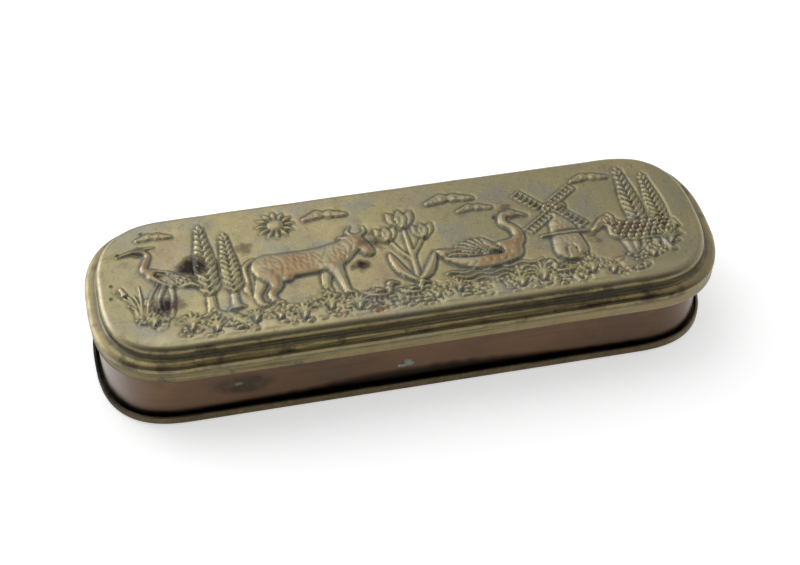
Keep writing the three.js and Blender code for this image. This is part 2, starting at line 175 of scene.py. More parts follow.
# slow unevenness of hand work round the box, the same each run
def handWobble(count, seed, amount, slowest=2, waves=9):
    rng = np.random.default_rng(seed)
    around = 2 * math.pi * np.arange(count) / count
    total = np.zeros(count)
    for k in range(waves):
        turns = slowest + 2 * k + k * k // 3
        total += rng.normal() / math.sqrt(1 + k) * np.sin(turns * around + rng.uniform(0, 2 * math.pi))
    return amount * total / np.abs(total).max()


print("helpers ready, plan", np.round(2 * rimHalf[:2], 1), "mm")


# materials

# a metal's start: noise fields of the sizes in its look, as name: (detail, offset), and the vertex layers
def startMetal(name, look, noises, layers):
    material = bpy.data.materials.new(name)
    material.use_nodes = True
    tree = material.node_tree
    fields = {"place": addNode(tree, "ShaderNodeTexCoord").outputs["Object"]}
    for key, (detail, offset) in noises.items():
        fields[key] = addNode(tree, "ShaderNodeTexNoise", {
            "Vector": fields["place"], "W": offset, "Scale": 1 / (look[key + "Mm"] * mm), "Detail": detail,
            "Roughness": look["noiseRoughness"],
        }, noise_dimensions="4D").outputs["Fac"]
    for key in layers:
        fields[key] = addNode(tree, "ShaderNodeAttribute", attribute_name=key).outputs["Fac"]
    return material, tree, fields


# tones laid over a base colour; a mask is (field, field that thins it, low, high, share, tone)
def layTones(tree, fields, look, base, masks):
    colour = linearColour(look[base])
    for key, thinner, low, high, share, tone in masks:
        field = fields[key]
        if thinner:
            thinned = addNode(tree, "ShaderNodeMath", {0: field, 1: fields[thinner]}, operation="MULTIPLY")
            field = thinned.outputs[0]
        mask = addNode(tree, "ShaderNodeMapRange", {
            "Value": field, "From Min": low, "From Max": high, "To Min": 0.0, "To Max": share,
        }, interpolation_type="SMOOTHSTEP").outputs["Result"]
        colour = addNode(tree, "ShaderNodeMix", {
            0: mask, 6: colour, 7: linearColour(look[tone]),
        }, data_type="RGBA").outputs[2]
    return colour


# a metal's end: roughness that wanders with one field and is dulled by a layer, and a skin from two fields
def finishMetal(tree, fields, look, colour):
    shader = tree.nodes["Principled BSDF"]
    shader.inputs["Metallic"].default_value = 1.0
    tree.links.new(colour, shader.inputs["Base Color"])
    smoothest, roughest = look["roughness"]
    wander = addNode(tree, "ShaderNodeMapRange", {
        "Value": fields[look["roughBy"]], "From Min": 0.3, "From Max": 0.7,
        "To Min": smoothest, "To Max": roughest,
    }).outputs["Result"]
    layer, share = look["dulledBy"]
    rough = addNode(tree, "ShaderNodeMath", {
        0: fields[layer], 1: share, 2: wander,
    }, operation="MULTIPLY_ADD")
    tree.links.new(rough.outputs[0], shader.inputs["Roughness"])
    coarse, share, fine = look["skinOf"]
    skin = addNode(tree, "ShaderNodeMath", {
        0: fields[coarse], 1: share, 2: fields[fine],
    }, operation="MULTIPLY_ADD")
    bump = addNode(tree, "ShaderNodeBump", {
        "Height": skin.outputs[0], "Strength": look["skinStrength"], "Distance": look["skinMm"] * mm,
    })
    tree.links.new(bump.outputs["Normal"], shader.inputs["Normal"])


# Stamped brass sheet, aged: satin olive metal with slow straw, pink and sage drifts, a grey-green bloom round
# the raised forms (tarnish, with painted shade close against them), black in the deep grooves with a film of
# blue-grey verdigris, black under the bead as painted shade, plum-black stains, browner and streaked along
# the border, and copper showing through where the high points are rubbed; the pale rubbed tone also paints a
# highlight along the shoulder.
brassLook = {
    "olive": "#8C8465", "straw": "#998E68", "rose": "#907F69", "sage": "#828073", "freckle": "#716A4E",
    "speck": "#5C5540", "glint": "#A69D80", "ochre": "#7E6F49", "paleRubAndHighlight": "#9C947C", "copperRub": "#856848",
    "streak": "#3F3523", "blot": "#2C261A", "bruise": "#3B302B", "core": "#1E1719",
    "halo": "#57564A", "tarnishAndShade": "#27251E", "verdigris": "#838580",
    "driftMm": 26, "cloudMm": 9, "mottleMm": 3.2, "grainMm": 0.55, "patchMm": 14, "stainMm": 5,
    "streakLongMm": 26, "streakThinMm": 0.7, "noiseRoughness": 0.6,
    "roughness": (0.31, 0.47), "roughBy": "mottle", "dulledBy": ("grime", 0.16),
    "skinOf": ("mottle", 1.6, "grain"), "skinStrength": 0.42, "skinMm": 0.10,
}


def agedBrass(name, look, age=1.0):
    noises = {"drift": (3, 1.0), "cloud": (4, 2.0), "mottle": (5, 3.0), "grain": (3, 4.0), "patch": (5, 7.0),
              "stain": (7, 9.0)}
    layers = ("grime", "rub", "streak", "across", "bruise", "damp")
    material, tree, fields = startMetal(name, look, noises, layers)

    # long thin streaks along the border: slow along the rim, quick across its section
    flat = addNode(tree, "ShaderNodeSeparateXYZ", {0: fields["place"]}).outputs
    slow, quick = 1 / (look["streakLongMm"] * mm), 1 / look["streakThinMm"]
    drawn = addNode(tree, "ShaderNodeCombineXYZ")
    for k, (value, pitch) in enumerate(((flat["X"], slow), (flat["Y"], slow), (fields["across"], quick))):
        scaled = addNode(tree, "ShaderNodeMath", {0: value, 1: pitch}, operation="MULTIPLY")
        tree.links.new(scaled.outputs[0], drawn.inputs[k])
    fields["lines"] = addNode(tree, "ShaderNodeTexNoise", {
        "Vector": drawn.outputs[0], "Scale": 1.0, "Detail": 3, "Roughness": look["noiseRoughness"],
    }).outputs["Fac"]

    # the bloom's edge is broken up by the mottle
    fields["ragged"] = addNode(tree, "ShaderNodeMapRange", {
        "Value": fields["mottle"], "From Min": 0.3, "From Max": 0.7, "To Min": 0.7, "To Max": 1.3,
    }).outputs["Result"]
    colour = layTones(tree, fields, look, "olive", [
        ("drift", None, 0.42, 0.62, 0.8 * age, "straw"),
        ("patch", None, 0.50, 0.66, 0.7 * age, "rose"),
        ("cloud", None, 0.48, 0.66, 0.75 * age, "sage"),
        ("mottle", None, 0.54, 0.72, 0.4 * age, "freckle"),
        ("grain", None, 0.57, 0.72, 0.6 * age, "speck"),
        ("grain", None, 0.44, 0.28, 0.65 * age, "glint"),
        ("streak", None, 0.0, 0.9, 0.7, "ochre"),
        # pale where rubbed, and a painted highlight along the shoulder
        ("rub", None, 0.10, 0.90, 0.50, "paleRubAndHighlight"),
        ("rub", "patch", 0.38, 0.62, 0.80, "copperRub"),
        ("streak", "lines", 0.38, 0.60, 0.80, "streak"),
        ("streak", "cloud", 0.50, 0.62, 0.75, "blot"),
        ("bruise", "stain", 0.30, 0.40, 0.55, "bruise"),
        ("bruise", "stain", 0.38, 0.52, 0.85, "bruise"),
        ("bruise", "stain", 0.49, 0.58, 0.85, "core"),
        # grime and painted shade: a grey-green bloom, then black, deepest under the bead
        ("grime", "ragged", 0.05, 0.50, 0.80, "halo"),
        ("grime", "ragged", 0.45, 1.00, 0.94, "tarnishAndShade"),
        ("damp", "cloud", 0.20, 0.42, 0.50, "verdigris"),
    ])
    finishMetal(tree, fields, look, colour)
    return material


# Rolled copper sheet, darkened with age: dull purple-brown, greyer at the ends as a painted sheen with plum
# blotches in it, near black at the foot and darker under the skirt as painted shade and reflection, with a
# thin ragged breath of verdigris.
copperLook = {
    "brown": "#69533F", "plum": "#5A493D", "bright": "#7A5B43", "endSheen": "#938781",
    "umber": "#3B291D", "dark": "#1E1B17", "green": "#555246", "bloom": "#79806A",
    "driftMm": 34, "cloudMm": 9, "mottleMm": 2.6, "grainMm": 0.8, "rollMm": 1.1, "rollStretch": 20,
    "noiseRoughness": 0.62,
    "roughness": (0.27, 0.43), "roughBy": "cloud", "dulledBy": ("verdigris", 0.15),
    "skinOf": ("rolling", 0.4, "grain"), "skinStrength": 0.16, "skinMm": 0.08,
}


def tarnishedCopper(name, look):
    noises = {"drift": (3, 1.5), "cloud": (6, 2.5), "mottle": (5, 6.5), "grain": (3, 3.5)}
    material, tree, fields = startMetal(name, look, noises, ("grime", "endSheen", "verdigris"))

    # rolling marks run along the sheet, so the noise is drawn out along X and Y and fine in Z
    along = 1 / look["rollStretch"]
    drawnOut = addNode(tree, "ShaderNodeMapping", {"Vector": fields["place"], "Scale": (along, along, 1.0)})
    fields["rolling"] = addNode(tree, "ShaderNodeTexNoise", {
        "Vector": drawnOut.outputs["Vector"], "Scale": 1 / (look["rollMm"] * mm), "Detail": 2,
    }).outputs["Fac"]
    colour = layTones(tree, fields, look, "brown", [
        ("drift", None, 0.40, 0.62, 0.85, "plum"),
        ("cloud", None, 0.54, 0.74, 0.6, "bright"),
        ("rolling", None, 0.50, 0.80, 0.16, "dark"),
        # painted sheen: greyer towards the ends, blotched with plum
        ("endSheen", None, 0.0, 0.8, 0.5, "endSheen"),
        ("endSheen", "cloud", 0.20, 0.50, 0.75, "endSheen"),
        ("endSheen", "mottle", 0.50, 0.66, 0.5, "plum"),
        ("verdigris", "cloud", 0.16, 0.46, 0.60, "dark"),
        ("verdigris", "mottle", 0.26, 0.48, 0.60, "green"),
        ("verdigris", "mottle", 0.46, 0.64, 0.70, "bloom"),
        # grime and painted shade: umber, then near black at the foot and under the skirt
        ("grime", None, 0.0, 0.6, 0.80, "umber"),
        ("grime", None, 0.5, 1.0, 0.85, "dark"),
    ])
    finishMetal(tree, fields, look, colour)
    return material


# Soft solder, flowed by hand: dull grey metal with a lumpy skin.
solderLook = {"grey": "#8D8C83", "dull": "#5F5D54", "lumpMm": 1.4, "roughness": 0.5, "skinStrength": 0.4,
              "skinMm": 0.15}


def softSolder(name, look):
    material, tree, fields = startMetal(name, look, {}, ())
    shader = tree.nodes["Principled BSDF"]
    lumps = addNode(tree, "ShaderNodeTexNoise", {
        "Vector": fields["place"], "Scale": 1 / (look["lumpMm"] * mm), "Detail": 4,
    }).outputs["Fac"]
    colour = addNode(tree, "ShaderNodeMix", {
        0: lumps, 6: linearColour(look["dull"]), 7: linearColour(look["grey"]),
    }, data_type="RGBA").outputs[2]
    tree.links.new(colour, shader.inputs["Base Color"])
    shader.inputs["Metallic"].default_value = 1.0
    shader.inputs["Roughness"].default_value = look["roughness"]
    bump = addNode(tree, "ShaderNodeBump", {
        "Height": lumps, "Strength": look["skinStrength"], "Distance": look["skinMm"] * mm,
    })
    tree.links.new(bump.outputs["Normal"], shader.inputs["Normal"])
    return material


lidBrass = agedBrass("stamped_brass_aged", brassLook)
sheetBrass = agedBrass("rolled_brass_sheet_browned", {
    **brassLook, "olive": "#72644A", "straw": "#786744", "rose": "#745F46", "sage": "#6A5F48",
    "halo": "#4A412F", "roughness": (0.37, 0.53),
})
hingeBrass = agedBrass("drawn_brass_tarnished", {
    **brassLook, "olive": "#7F7757", "straw": "#867852", "driftMm": 12,
})
wireBrass = agedBrass("drawn_brass_wire", {**brassLook, "olive": "#8C8463", "driftMm": 8}, age=0.7)
wallCopper = tarnishedCopper("rolled_copper_tarnished", copperLook)
solder = softSolder("soft_solder_dull", solderLook)
oldSolder = softSolder("soft_solder_tarnished", {**solderLook, "grey": "#93958A", "dull": "#6A6C62"})
print("materials ready")


# picture stamped into the lid: a waterside pasture in low folk relief
# A stroke is a list of (x, y, radius) points in mm; figures are drawn about their own middle and then placed.

# a smooth curve through a stroke's points
def smoothStroke(stroke, parts=4):
    if len(stroke) < 3:
        return stroke
    c = np.array([stroke[0], *stroke, stroke[-1]], float)
    made = []
    for a, b, d, e in zip(c[:-3], c[1:-2], c[2:-1], c[3:]):
        for t in np.arange(parts) / parts:
            bend = (2 * a - 5 * b + 4 * d - e) * t ** 2 + (3 * b - a - 3 * d + e) * t ** 3
            made.append(0.5 * (2 * b + (d - a) * t + bend))
    return [*made, c[-1]]


# distance from points, as complex numbers, to a stroke's edge; less than 0 is inside it
def strokeDistance(spots, stroke):
    stroke = smoothStroke(stroke)
    best = np.full(spots.shape, 1e3)
    for (ax, ay, ar), (bx, by, br) in zip(stroke[:-1] or stroke, stroke[1:] or stroke):
        a, along = complex(ax, ay), complex(bx - ax, by - ay)
        t = np.clip(((spots - a) * along.conjugate()).real / max(abs(along) ** 2, 1e-9), 0, 1)
        best = np.minimum(best, np.abs(spots - a - t * along) - (ar + (br - ar) * t))
    return best


def softUnion(a, b, blend):
    share = np.clip(0.5 + 0.5 * (b - a) / blend, 0, 1)
    return b + (a - b) * share - blend * share * (1 - share)


# the points of a relief that some strokes can touch
def nearStrokes(relief, strokes, reach):
    c = np.array([spot for stroke in strokes for spot in stroke])
    low, high = (c[:, :2] - c[:, 2:]).min(0) - reach, (c[:, :2] + c[:, 2:]).max(0) + reach
    x, y = relief["spots"].real, relief["spots"].imag
    return np.flatnonzero((x > low[0]) & (x < high[0]) & (y > low[1]) & (y < high[1]))


chasingTool = {
    "reach": 2.0, "cutReach": 1.2,       # how far round a form, or a cut, the sheet is worked
    "moatAt": 0.3, "moatSpread": 0.42,   # the groove along a form's edge
    "pressTo": 0.45, "pressReach": 0.7,  # share left, at the edge, of what lies behind
}


# push a rounded form up; a small moat is chased round it and what lies behind it is pressed down
def swell(relief, strokes, lift, soft=2.3, moat=0.12, under=0.3, blend=0.8):
    tool = chasingTool
    picked = nearStrokes(relief, strokes, tool["reach"])
    spots, rise = relief["spots"][picked], relief["rise"][picked]
    d = strokeDistance(spots, strokes[0])
    for stroke in strokes[1:]:
        d = softUnion(d, strokeDistance(spots, stroke), blend)
    t = np.clip(-d / soft, 0, 1)
    dome = lift * np.sqrt(1 - (1 - t) ** 2) + under * np.clip(rise, 0, None)
    clear = tool["pressTo"] + (1 - tool["pressTo"]) * np.clip(d / tool["pressReach"], 0, 1)
    groove = moat * np.exp(-((d - tool["moatAt"]) / tool["moatSpread"]) ** 2)
    relief["rise"][picked] = np.where(d < 0, dome, rise * clear - groove)


def chase(relief, strokes, depth=0.14, width=0.32):
    for stroke in strokes:
        picked = nearStrokes(relief, [stroke], chasingTool["cutReach"])
        d = np.clip(strokeDistance(relief["spots"][picked], stroke), 0, None)
        relief["rise"][picked] -= depth * np.exp(-(d / width) ** 2)


def leaf(x, y, angle, length, width):
    step = complex(math.cos(angle), math.sin(angle)) * length
    outline = ((0, 0.25), (0.5, 0.5), (1, 0.1))  # (share of the length, radius as a share of the width)
    return [(x + (step * t).real, y + (step * t).imag, width * w) for t, w in outline]


def bow(x, y, radius, start, end, r=0.0, steps=6):
    angles = np.linspace(start, end, steps + 1)
    return [(x + radius * math.cos(a), y + radius * math.sin(a), r) for a in angles]


# short hairs in staggered rows, leaning with the coat
def coat(x, y, across, down, stepX, stepY, lean=0.3):
    hairs = []
    for row in range(down):
        for k in range(across):
            a = x + stepX * (k + 0.5 * (row % 2)) + 0.3 * math.sin(5.1 * k + 3.3 * row)
            b = y - stepY * row + 0.25 * math.sin(2.7 * k + 1.9 * row)
            hairs.append([(a, b, 0), (a + lean, b - 0.55, 0)])
    return hairs


cow = {
    "far": [
        [(5.6, -3.2, 1.9), (4.2, -8.4, 1.1), (5.0, -12.6, 0.8), (6.2, -13.1, 0.7)],
        [(-10.8, -2.5, 2.2), (-12.6, -7.0, 1.3), (-13.6, -9.8, 0.9), (-12.8, -13, 0.8), (-11.8, -13.2, 0.7)],
        [(-13.0, 3.8, 0.8), (-15.4, 1.6, 0.6), (-15.2, -3.8, 0.5), (-15.8, -6.6, 0.9), (-15.2, -9.4, 0.2)],
    ],
    "body": [
        [(-9.3, 0.6, 4.5), (-3, 0.0, 4.6), (4, 0.3, 4.4), (8.5, 1.6, 4.0)],
        [(9.0, 1.9, 3.8), (13.2, 4.6, 2.8)],
        [(14.2, 5.6, 2.3), (15.9, 3.4, 1.9), (17.0, 0.9, 1.5)],
        [(12.6, 7.0, 0.75), (10.4, 7.4, 0.5)],
        [(15.2, 7.2, 0.55), (17.2, 8.6, 0.5), (17.2, 10.8, 0.25)],
        [(14.0, 7.4, 0.55), (12.8, 9.4, 0.45), (13.8, 11.4, 0.25)],
        [(7.4, -3.0, 2.2), (8.4, -8, 1.2), (9.2, -12.6, 0.9), (10.6, -13.1, 0.75)],
        [(-9.6, -2, 3.0), (-8.2, -6.8, 1.6), (-10.0, -9.8, 1.05), (-9.0, -13, 0.9), (-7.8, -13.2, 0.7)],
        [(-5.2, -4.6, 1.5)],
    ],
    "cuts": [
        [(10.4, -1.4, 0), (11.4, 2.0, 0), (10.0, 5.6, 0)], [(12.0, 0.6, 0), (13.0, 3.2, 0), (11.8, 6.2, 0)],
        [(-6.0, -4.0, 0), (-5.6, 0.4, 0), (-7.6, 3.6, 0)], [(4.8, -3.4, 0), (4.6, -0.4, 0), (6.2, 2.8, 0)],
        [(16.0, -0.3, 0), (17.4, 0.2, 0)], [(17.6, 1.3, 0), (17.9, 1.5, 0)], [(15.5, 5.0, 0), (15.9, 4.7, 0)],
        [(14.6, 1.8, 0), (15.8, 1.9, 0), (17.0, 2.6, 0)], [(13.0, 2.2, 0), (13.6, 4.6, 0), (13.0, 6.6, 0)],
        *coat(-4.6, 3.3, 7, 5, 1.3, 1.3), *coat(-12.0, 3.3, 4, 4, 1.3, 1.4), *coat(6.2, 4.2, 4, 4, 1.2, 1.4),
    ],
}
swan = {
    "body": [
        [(6.8, 0.2, 4.0), (0.6, -0.8, 4.3), (-6, 0.4, 3.2), (-11.6, 3.8, 0.4)],
        [(8.2, 1.6, 2.4), (10.8, 4.6, 1.6), (10.4, 8.0, 1.3), (8.2, 10.8, 1.2), (8.6, 13.6, 1.2),
         (10.6, 14.2, 1.4)],
        [(11.0, 14.0, 1.4), (12.6, 13.6, 0.8), (14.8, 12.6, 0.35)],
    ],
    "plumes": [leaf(4.6, 0.4, math.pi - 0.05 - 0.16 * k, 13.5 - 1.1 * k, 2.3) for k in range(7)],
    "cuts": [
        *[bow(7.0 - 2.0 * k, -2.2 - 0.4 * (k % 2), 1.0, -2.7, -0.4) for k in range(7)],
        *[bow(6.4 - 2.0 * k, -0.6, 0.9, -2.7, -0.4) for k in range(3)],
        *[bow(9.6 + 0.25 * k, 3.2 + 1.5 * k, 1.0, -2.4, -0.7) for k in range(3)],
        [(11.4, 14.4, 0), (11.9, 14.3, 0)], [(12.2, 14.4, 0), (12.6, 13.0, 0)],
    ],
}
heron = {
    "far": [
        [(0.4, -3, 0.8), (0.6, -8, 0.6), (-0.4, -14, 0.5), (-1.9, -14.4, 0.35)],
        [(-1.5, -2.6, 0.8), (-3.2, -7.4, 0.6), (-2.8, -13.8, 0.5), (-4.4, -14.3, 0.35)],
    ],
    "body": [
        [(4.6, -2.0, 1.8), (0, 0.2, 3.0), (-3.4, 2.2, 2.2)], [(4.6, -2.2, 1.6), (8.4, -4.6, 0.4)],
        [(-3.8, 3.0, 1.7), (-6.2, 5.2, 1.1), (-5.4, 8.2, 0.95), (-4.6, 10.8, 0.9), (-6.4, 12.8, 1.0)],
        [(-6.8, 13.0, 1.25), (-9.0, 12.9, 0.7), (-13.0, 11.9, 0.25)],
        [(-6.2, 13.8, 0.45), (-2.6, 14.2, 0.25)],
    ],
    "plumes": [leaf(-2.6, 2.1, -0.22 - 0.15 * k, 10.5 - 0.9 * k, 1.8) for k in range(5)],
    "cuts": [
        [(-7.4, 13.3, 0), (-7.8, 13.2, 0)],
        *[bow(-3.4 - 0.5 * k, 3.0 + 1.1 * k, 0.8, 3.4, 5.2) for k in range(3)],
    ],
}
ram = {
    "far": [
        [(-5.5, -3, 1.4), (-5.8, -8.4, 0.8), (-6.8, -9.2, 0.7)],
        [(5.5, -3, 1.4), (5.2, -8.4, 0.8), (6.4, -9.2, 0.7)],
        [(-3.0, -3, 1.2), (-2.4, -8.2, 0.7), (-3.4, -8.9, 0.6)],
        [(3.0, -3, 1.2), (3.4, -8.2, 0.7), (4.6, -8.9, 0.6)],
    ],
    "body": [
        [(-6, 0.4, 4.0), (0, 0.1, 4.2), (5.5, 0.8, 3.9)], [(6.2, 3.0, 2.6), (8.8, 5.4, 2.0)],
        [(9.2, 6.0, 1.8), (11.4, 4.4, 1.3), (12.8, 3.0, 0.95)], [(-9.4, 2.2, 1.3), (-10.6, 0.0, 0.7)],
    ],
    "wool": [
        bow(-8.0 + 2.15 * k + 1.05 * (row % 2), 3.2 - 1.75 * row + 0.3 * max(k - 4, 0), 0.55,
            0.6 * k, 4.6 + 0.6 * k, 0.42, 5)
        for row in range(4) for k in range(8 - row % 2)
    ],
    "horn": [[
        (8.7 + (2.2 - 0.24 * k) * math.cos(2.0 + 0.66 * k), 6.2 + (2.2 - 0.24 * k) * math.sin(2.0 + 0.66 * k),
         0.68 - 0.05 * k)
        for k in range(8)
    ]],
    "cuts": [[(10.6, 5.6, 0), (11.2, 5.2, 0)], [(12.2, 2.6, 0), (13.0, 3.2, 0)]],
}
duck = {
    "far": [
        [(-0.6, -1.4, 0.45), (-0.8, -3.0, 0.4), (0.2, -3.2, 0.4)],
        [(0.8, -1.4, 0.45), (0.9, -2.9, 0.4), (1.9, -3.1, 0.4)],
    ],
    "body": [
        [(-4.4, 1.4, 0.4), (-2.4, 0.4, 1.2), (0.2, 0, 1.7), (2.0, 0.8, 1.3), (2.8, 2.4, 0.7),
         (3.2, 3.4, 0.9)],
        [(3.6, 3.4, 0.7), (5.4, 3.0, 0.35)],
    ],
    "plumes": [leaf(1.2, 0.6, math.pi - 0.1 - 0.25 * k, 4.4 - 0.5 * k, 1.2) for k in range(3)],
}
tulip = {
    "far": [
        [(0, -14.5, 0.9), (0.3, -6, 0.6), (0, 7, 0.55)],
        [(0.2, -6, 0.5), (-2.6, -1.5, 0.5), (-4.6, 3.2, 0.5)],
        [(0.2, -4.5, 0.5), (2.8, -0.5, 0.5), (4.6, 2.6, 0.5)],
    ],
    "body": [
        [(-0.4, -13.5, 0.6), (-3.4, -9.5, 1.3), (-5.2, -4.0, 0.9), (-5.4, -2.0, 0.2)],
        [(0.4, -13.5, 0.6), (3.2, -10.5, 1.3), (5.4, -6.0, 0.9), (6.0, -4.0, 0.2)],
    ],
    "plumes": [
        leaf(x + 0.55 * k * size, y, math.pi / 2 - 0.42 * k, 6.4 * size, 3.1 * size)
        for x, y, size in ((0, 7.2, 1.0), (-4.8, 3.0, 0.8), (4.8, 2.4, 0.8)) for k in (-1, 1, 0)
    ],
    "cuts": [
        [(-1.4, -12, 0), (-3.6, -8.4, 0), (-4.9, -4.2, 0)], [(1.4, -12.4, 0), (3.6, -9.4, 0), (5.0, -6.2, 0)],
    ],
}
sun = {
    "far": [[(0, 0, 2.3)]],
    "plumes": [leaf(2.6 * math.cos(a), 2.6 * math.sin(a), a, 2.4, 1.1) for a in np.arange(12) * math.pi / 6],
    "cuts": [bow(0, 0, 1.4, 0, 2 * math.pi, 0, 10)],
}
cloud = {
    "far": [
        [(-5.2, -0.4, 0.8), (-3.4, 0.2, 1.2)], [(-1.6, 0.8, 1.6)], [(1.5, 0.5, 1.5)],
        [(3.6, 0.0, 1.1), (5.6, -0.5, 0.7)],
    ],
    "cuts": [
        bow(x, y, r, -0.6, 3.5)
        for x, y, r in ((-1.7, 0.6, 0.8), (1.5, 0.3, 0.75), (-4.0, -0.1, 0.6), (4.0, -0.2, 0.6))
    ],
}
layerSwell = {  # (lift, softness) of a figure's layers
    "far": (0.5, 1.5), "body": (0.85, 2.3), "horn": (0.55, 0.7), "plumes": (0.34, 0.9), "wool": (0.3, 0.5),
}


def placeStrokes(strokes, at, size, flip=1):
    placed = []
    for stroke in strokes:
        placed.append([(at[0] + flip * x * size, at[1] + y * size, r * size) for x, y, r in stroke])
    return placed


def drawFigure(relief, figure, at, size, flip):
    for layer, strokes in figure.items():
        moved = placeStrokes(strokes, at, size, flip)
        if layer == "cuts":
            chase(relief, moved, 0.12)
        elif layer in ("plumes", "wool"):
            for stroke in moved:
                swell(relief, [stroke], *layerSwell[layer], moat=0.14, under=0.75)
        else:
            swell(relief, moved, *layerSwell[layer])


def drawPoplar(relief, x, foot, size):
    trunk = [[(-0.3, 0, 1.3), (0, 12, 0.8)]]
    roots = [[(-0.4, 0, 0.9), (-2.4, -0.7, 0.42)], [(0, 0, 0.9), (2.2, -0.6, 0.42)]]
    crown = [[(0, 7, 0.8), (0, 14, 2.7), (0, 21, 2.6), (0, 29, 1.2), (0, 33, 0.3)]]
    swell(relief, placeStrokes(trunk + roots, (x, foot), size), 0.55, 1.2)
    swell(relief, placeStrokes(crown, (x, foot), size), 0.5, 2.0)
    for k in range(11):
        wide = (1.1 - 0.07 * max(k - 3, 0)) * size
        for side in (-1, 1):
            angle = math.pi / 2 - side * (0.62 - 0.02 * k)
            blade = leaf(x + side * 0.25, foot + (6.7 + 2.3 * k) * size, angle, 3.9 * wide, 1.5 * wide)
            swell(relief, [blade], 0.3, 0.7, moat=0.12, under=0.8)


def drawTuft(relief, x, y, blades, height, bloom, spread=1.9):
    for k in range(blades):
        lean = (k / (blades - 1) - 0.5) * spread
        tall = height * (1 - 0.28 * abs(lean))
        middle = (x + math.sin(lean * 0.5) * tall * 0.55, y + math.cos(lean * 0.5) * tall * 0.55)
        tip = (x + math.sin(lean) * tall, y + math.cos(lean) * tall)
        swell(relief, [[(x, y, 0.4), (*middle, 0.5), (*tip, 0.2)]], 0.42, 0.7, moat=0.1)
        if bloom and k % 2 == 0:
            for m in range(5):
                swell(relief, [leaf(*tip, 0.3 + m * 2 * math.pi / 5, 1.6, 1.2)], 0.4, 0.7, moat=0.08)
            swell(relief, [[(*tip, 0.42)]], 0.35, 0.5, moat=0.1)


def drawMill(relief, x, y):
    swell(relief, [[(x, y - 10, 4.4), (x, y - 3, 3.5), (x, y + 4, 2.8)]], 0.85)
    for k in range(7):  # courses of stone
        level, reach = y - 12.5 + 2.3 * k, 4.2 - 0.26 * k
        chase(relief, [[(x - reach, level, 0), (x, level - 0.5, 0), (x + reach, level, 0)]], 0.11)
        joints = [x + side * 1.4 + 0.7 * (k % 2) for side in (-1, 0, 1)]
        chase(relief, [[(joint, level + 0.2, 0), (joint, level + 1.8, 0)] for joint in joints], 0.08)
    swell(relief, [[(x - 1.6, y + 6.4, 1.9), (x + 1.4, y + 7.0, 1.7)]], 0.8, 1.6)
    swell(relief, [[(x - 6.0, y - 4.0, 0.55), (x + 6.0, y - 4.0, 0.55)]], 0.5, 0.7)
    posts = [[(x + side * 1.3, y - 10.6, 0), (x + side * 1.3, y - 13.4, 0)] for side in (-1, 1)]
    chase(relief, [bow(x, y - 10.6, 1.3, math.pi, 0), *posts], 0.25)
    hub = complex(x - 1.4, y + 6.2)
    for k in range(4):
        turn = complex(math.cos(0.66 + k * math.pi / 2), math.sin(0.66 + k * math.pi / 2))
        bars = [((0, 10.6), 0.45, 0.5), ((2.8 + 2.3j, 10.6 + 2.3j), 0.36, 0.42)]
        bars += [((2.8 + 1.56 * m, 2.8 + 1.56 * m + 2.3j), 0.34, 0.4) for m in range(6)]
        for ends, r, lift in bars:
            a, b = (hub + turn * end for end in ends)
            swell(relief, [[(a.real, a.imag, r), (b.real, b.imag, r)]], lift, 0.5, moat=0.06, under=0.6)
    swell(relief, [[(hub.real, hub.imag, 0.9)]], 0.5, 0.8)


pasture = {  # places in mm from the lid's middle
    "ground": -14.6, "groundLift": 0.34, "groundEnd": 70, "groundFade": 12,
    "stones": 190, "stoneSeed": 8,
    "poplars": [(-51, -13.5, 1.0), (-45, -12.6, 0.85), (63, -12, 0.95), (69, -11.5, 0.83)],  # (x, foot, size)
    "mill": (42.5, 0.5),
    "reeds": 8, "reedsFrom": (-69.6, -12.6), "seedHeads": (1, 5),
    "ripples": 3, "ripplesFrom": (9, -12.0),
    "figures": [  # (figure, x, y, size, 1 or -1 for the way it faces), in the order of drawing
        (heron, -61, 0.5, 0.92, 1), (cow, -26, -0.6, 1, 1), (swan, 19.5, -7.0, 1, 1),
        (ram, 62.5, -6.3, 0.92, -1), (tulip, 1.5, 0.6, 1, 1), (sun, -31, 15.6, 1, 1),
        (cloud, -18, 16.4, 1, 1), (cloud, 15.5, 15.8, 1.1, 1), (cloud, 21.5, 11.0, 0.8, 1),
        (cloud, 54.5, 16.6, 0.9, 1), (cloud, -63, 17.2, 0.8, 1),
        (duck, -9, -15.6, 0.95, 1), (duck, -0.5, -16.2, 0.8, 1), (duck, 39, -16.4, 0.9, -1),
    ],
    "tufts": (-66, -57, -51, -41, -35, -29, -22, -15, 5, 11, 27, 33, 46, 51, 63, 69), "tuftLevel": -19.0,
    "deepest": -0.3,
}


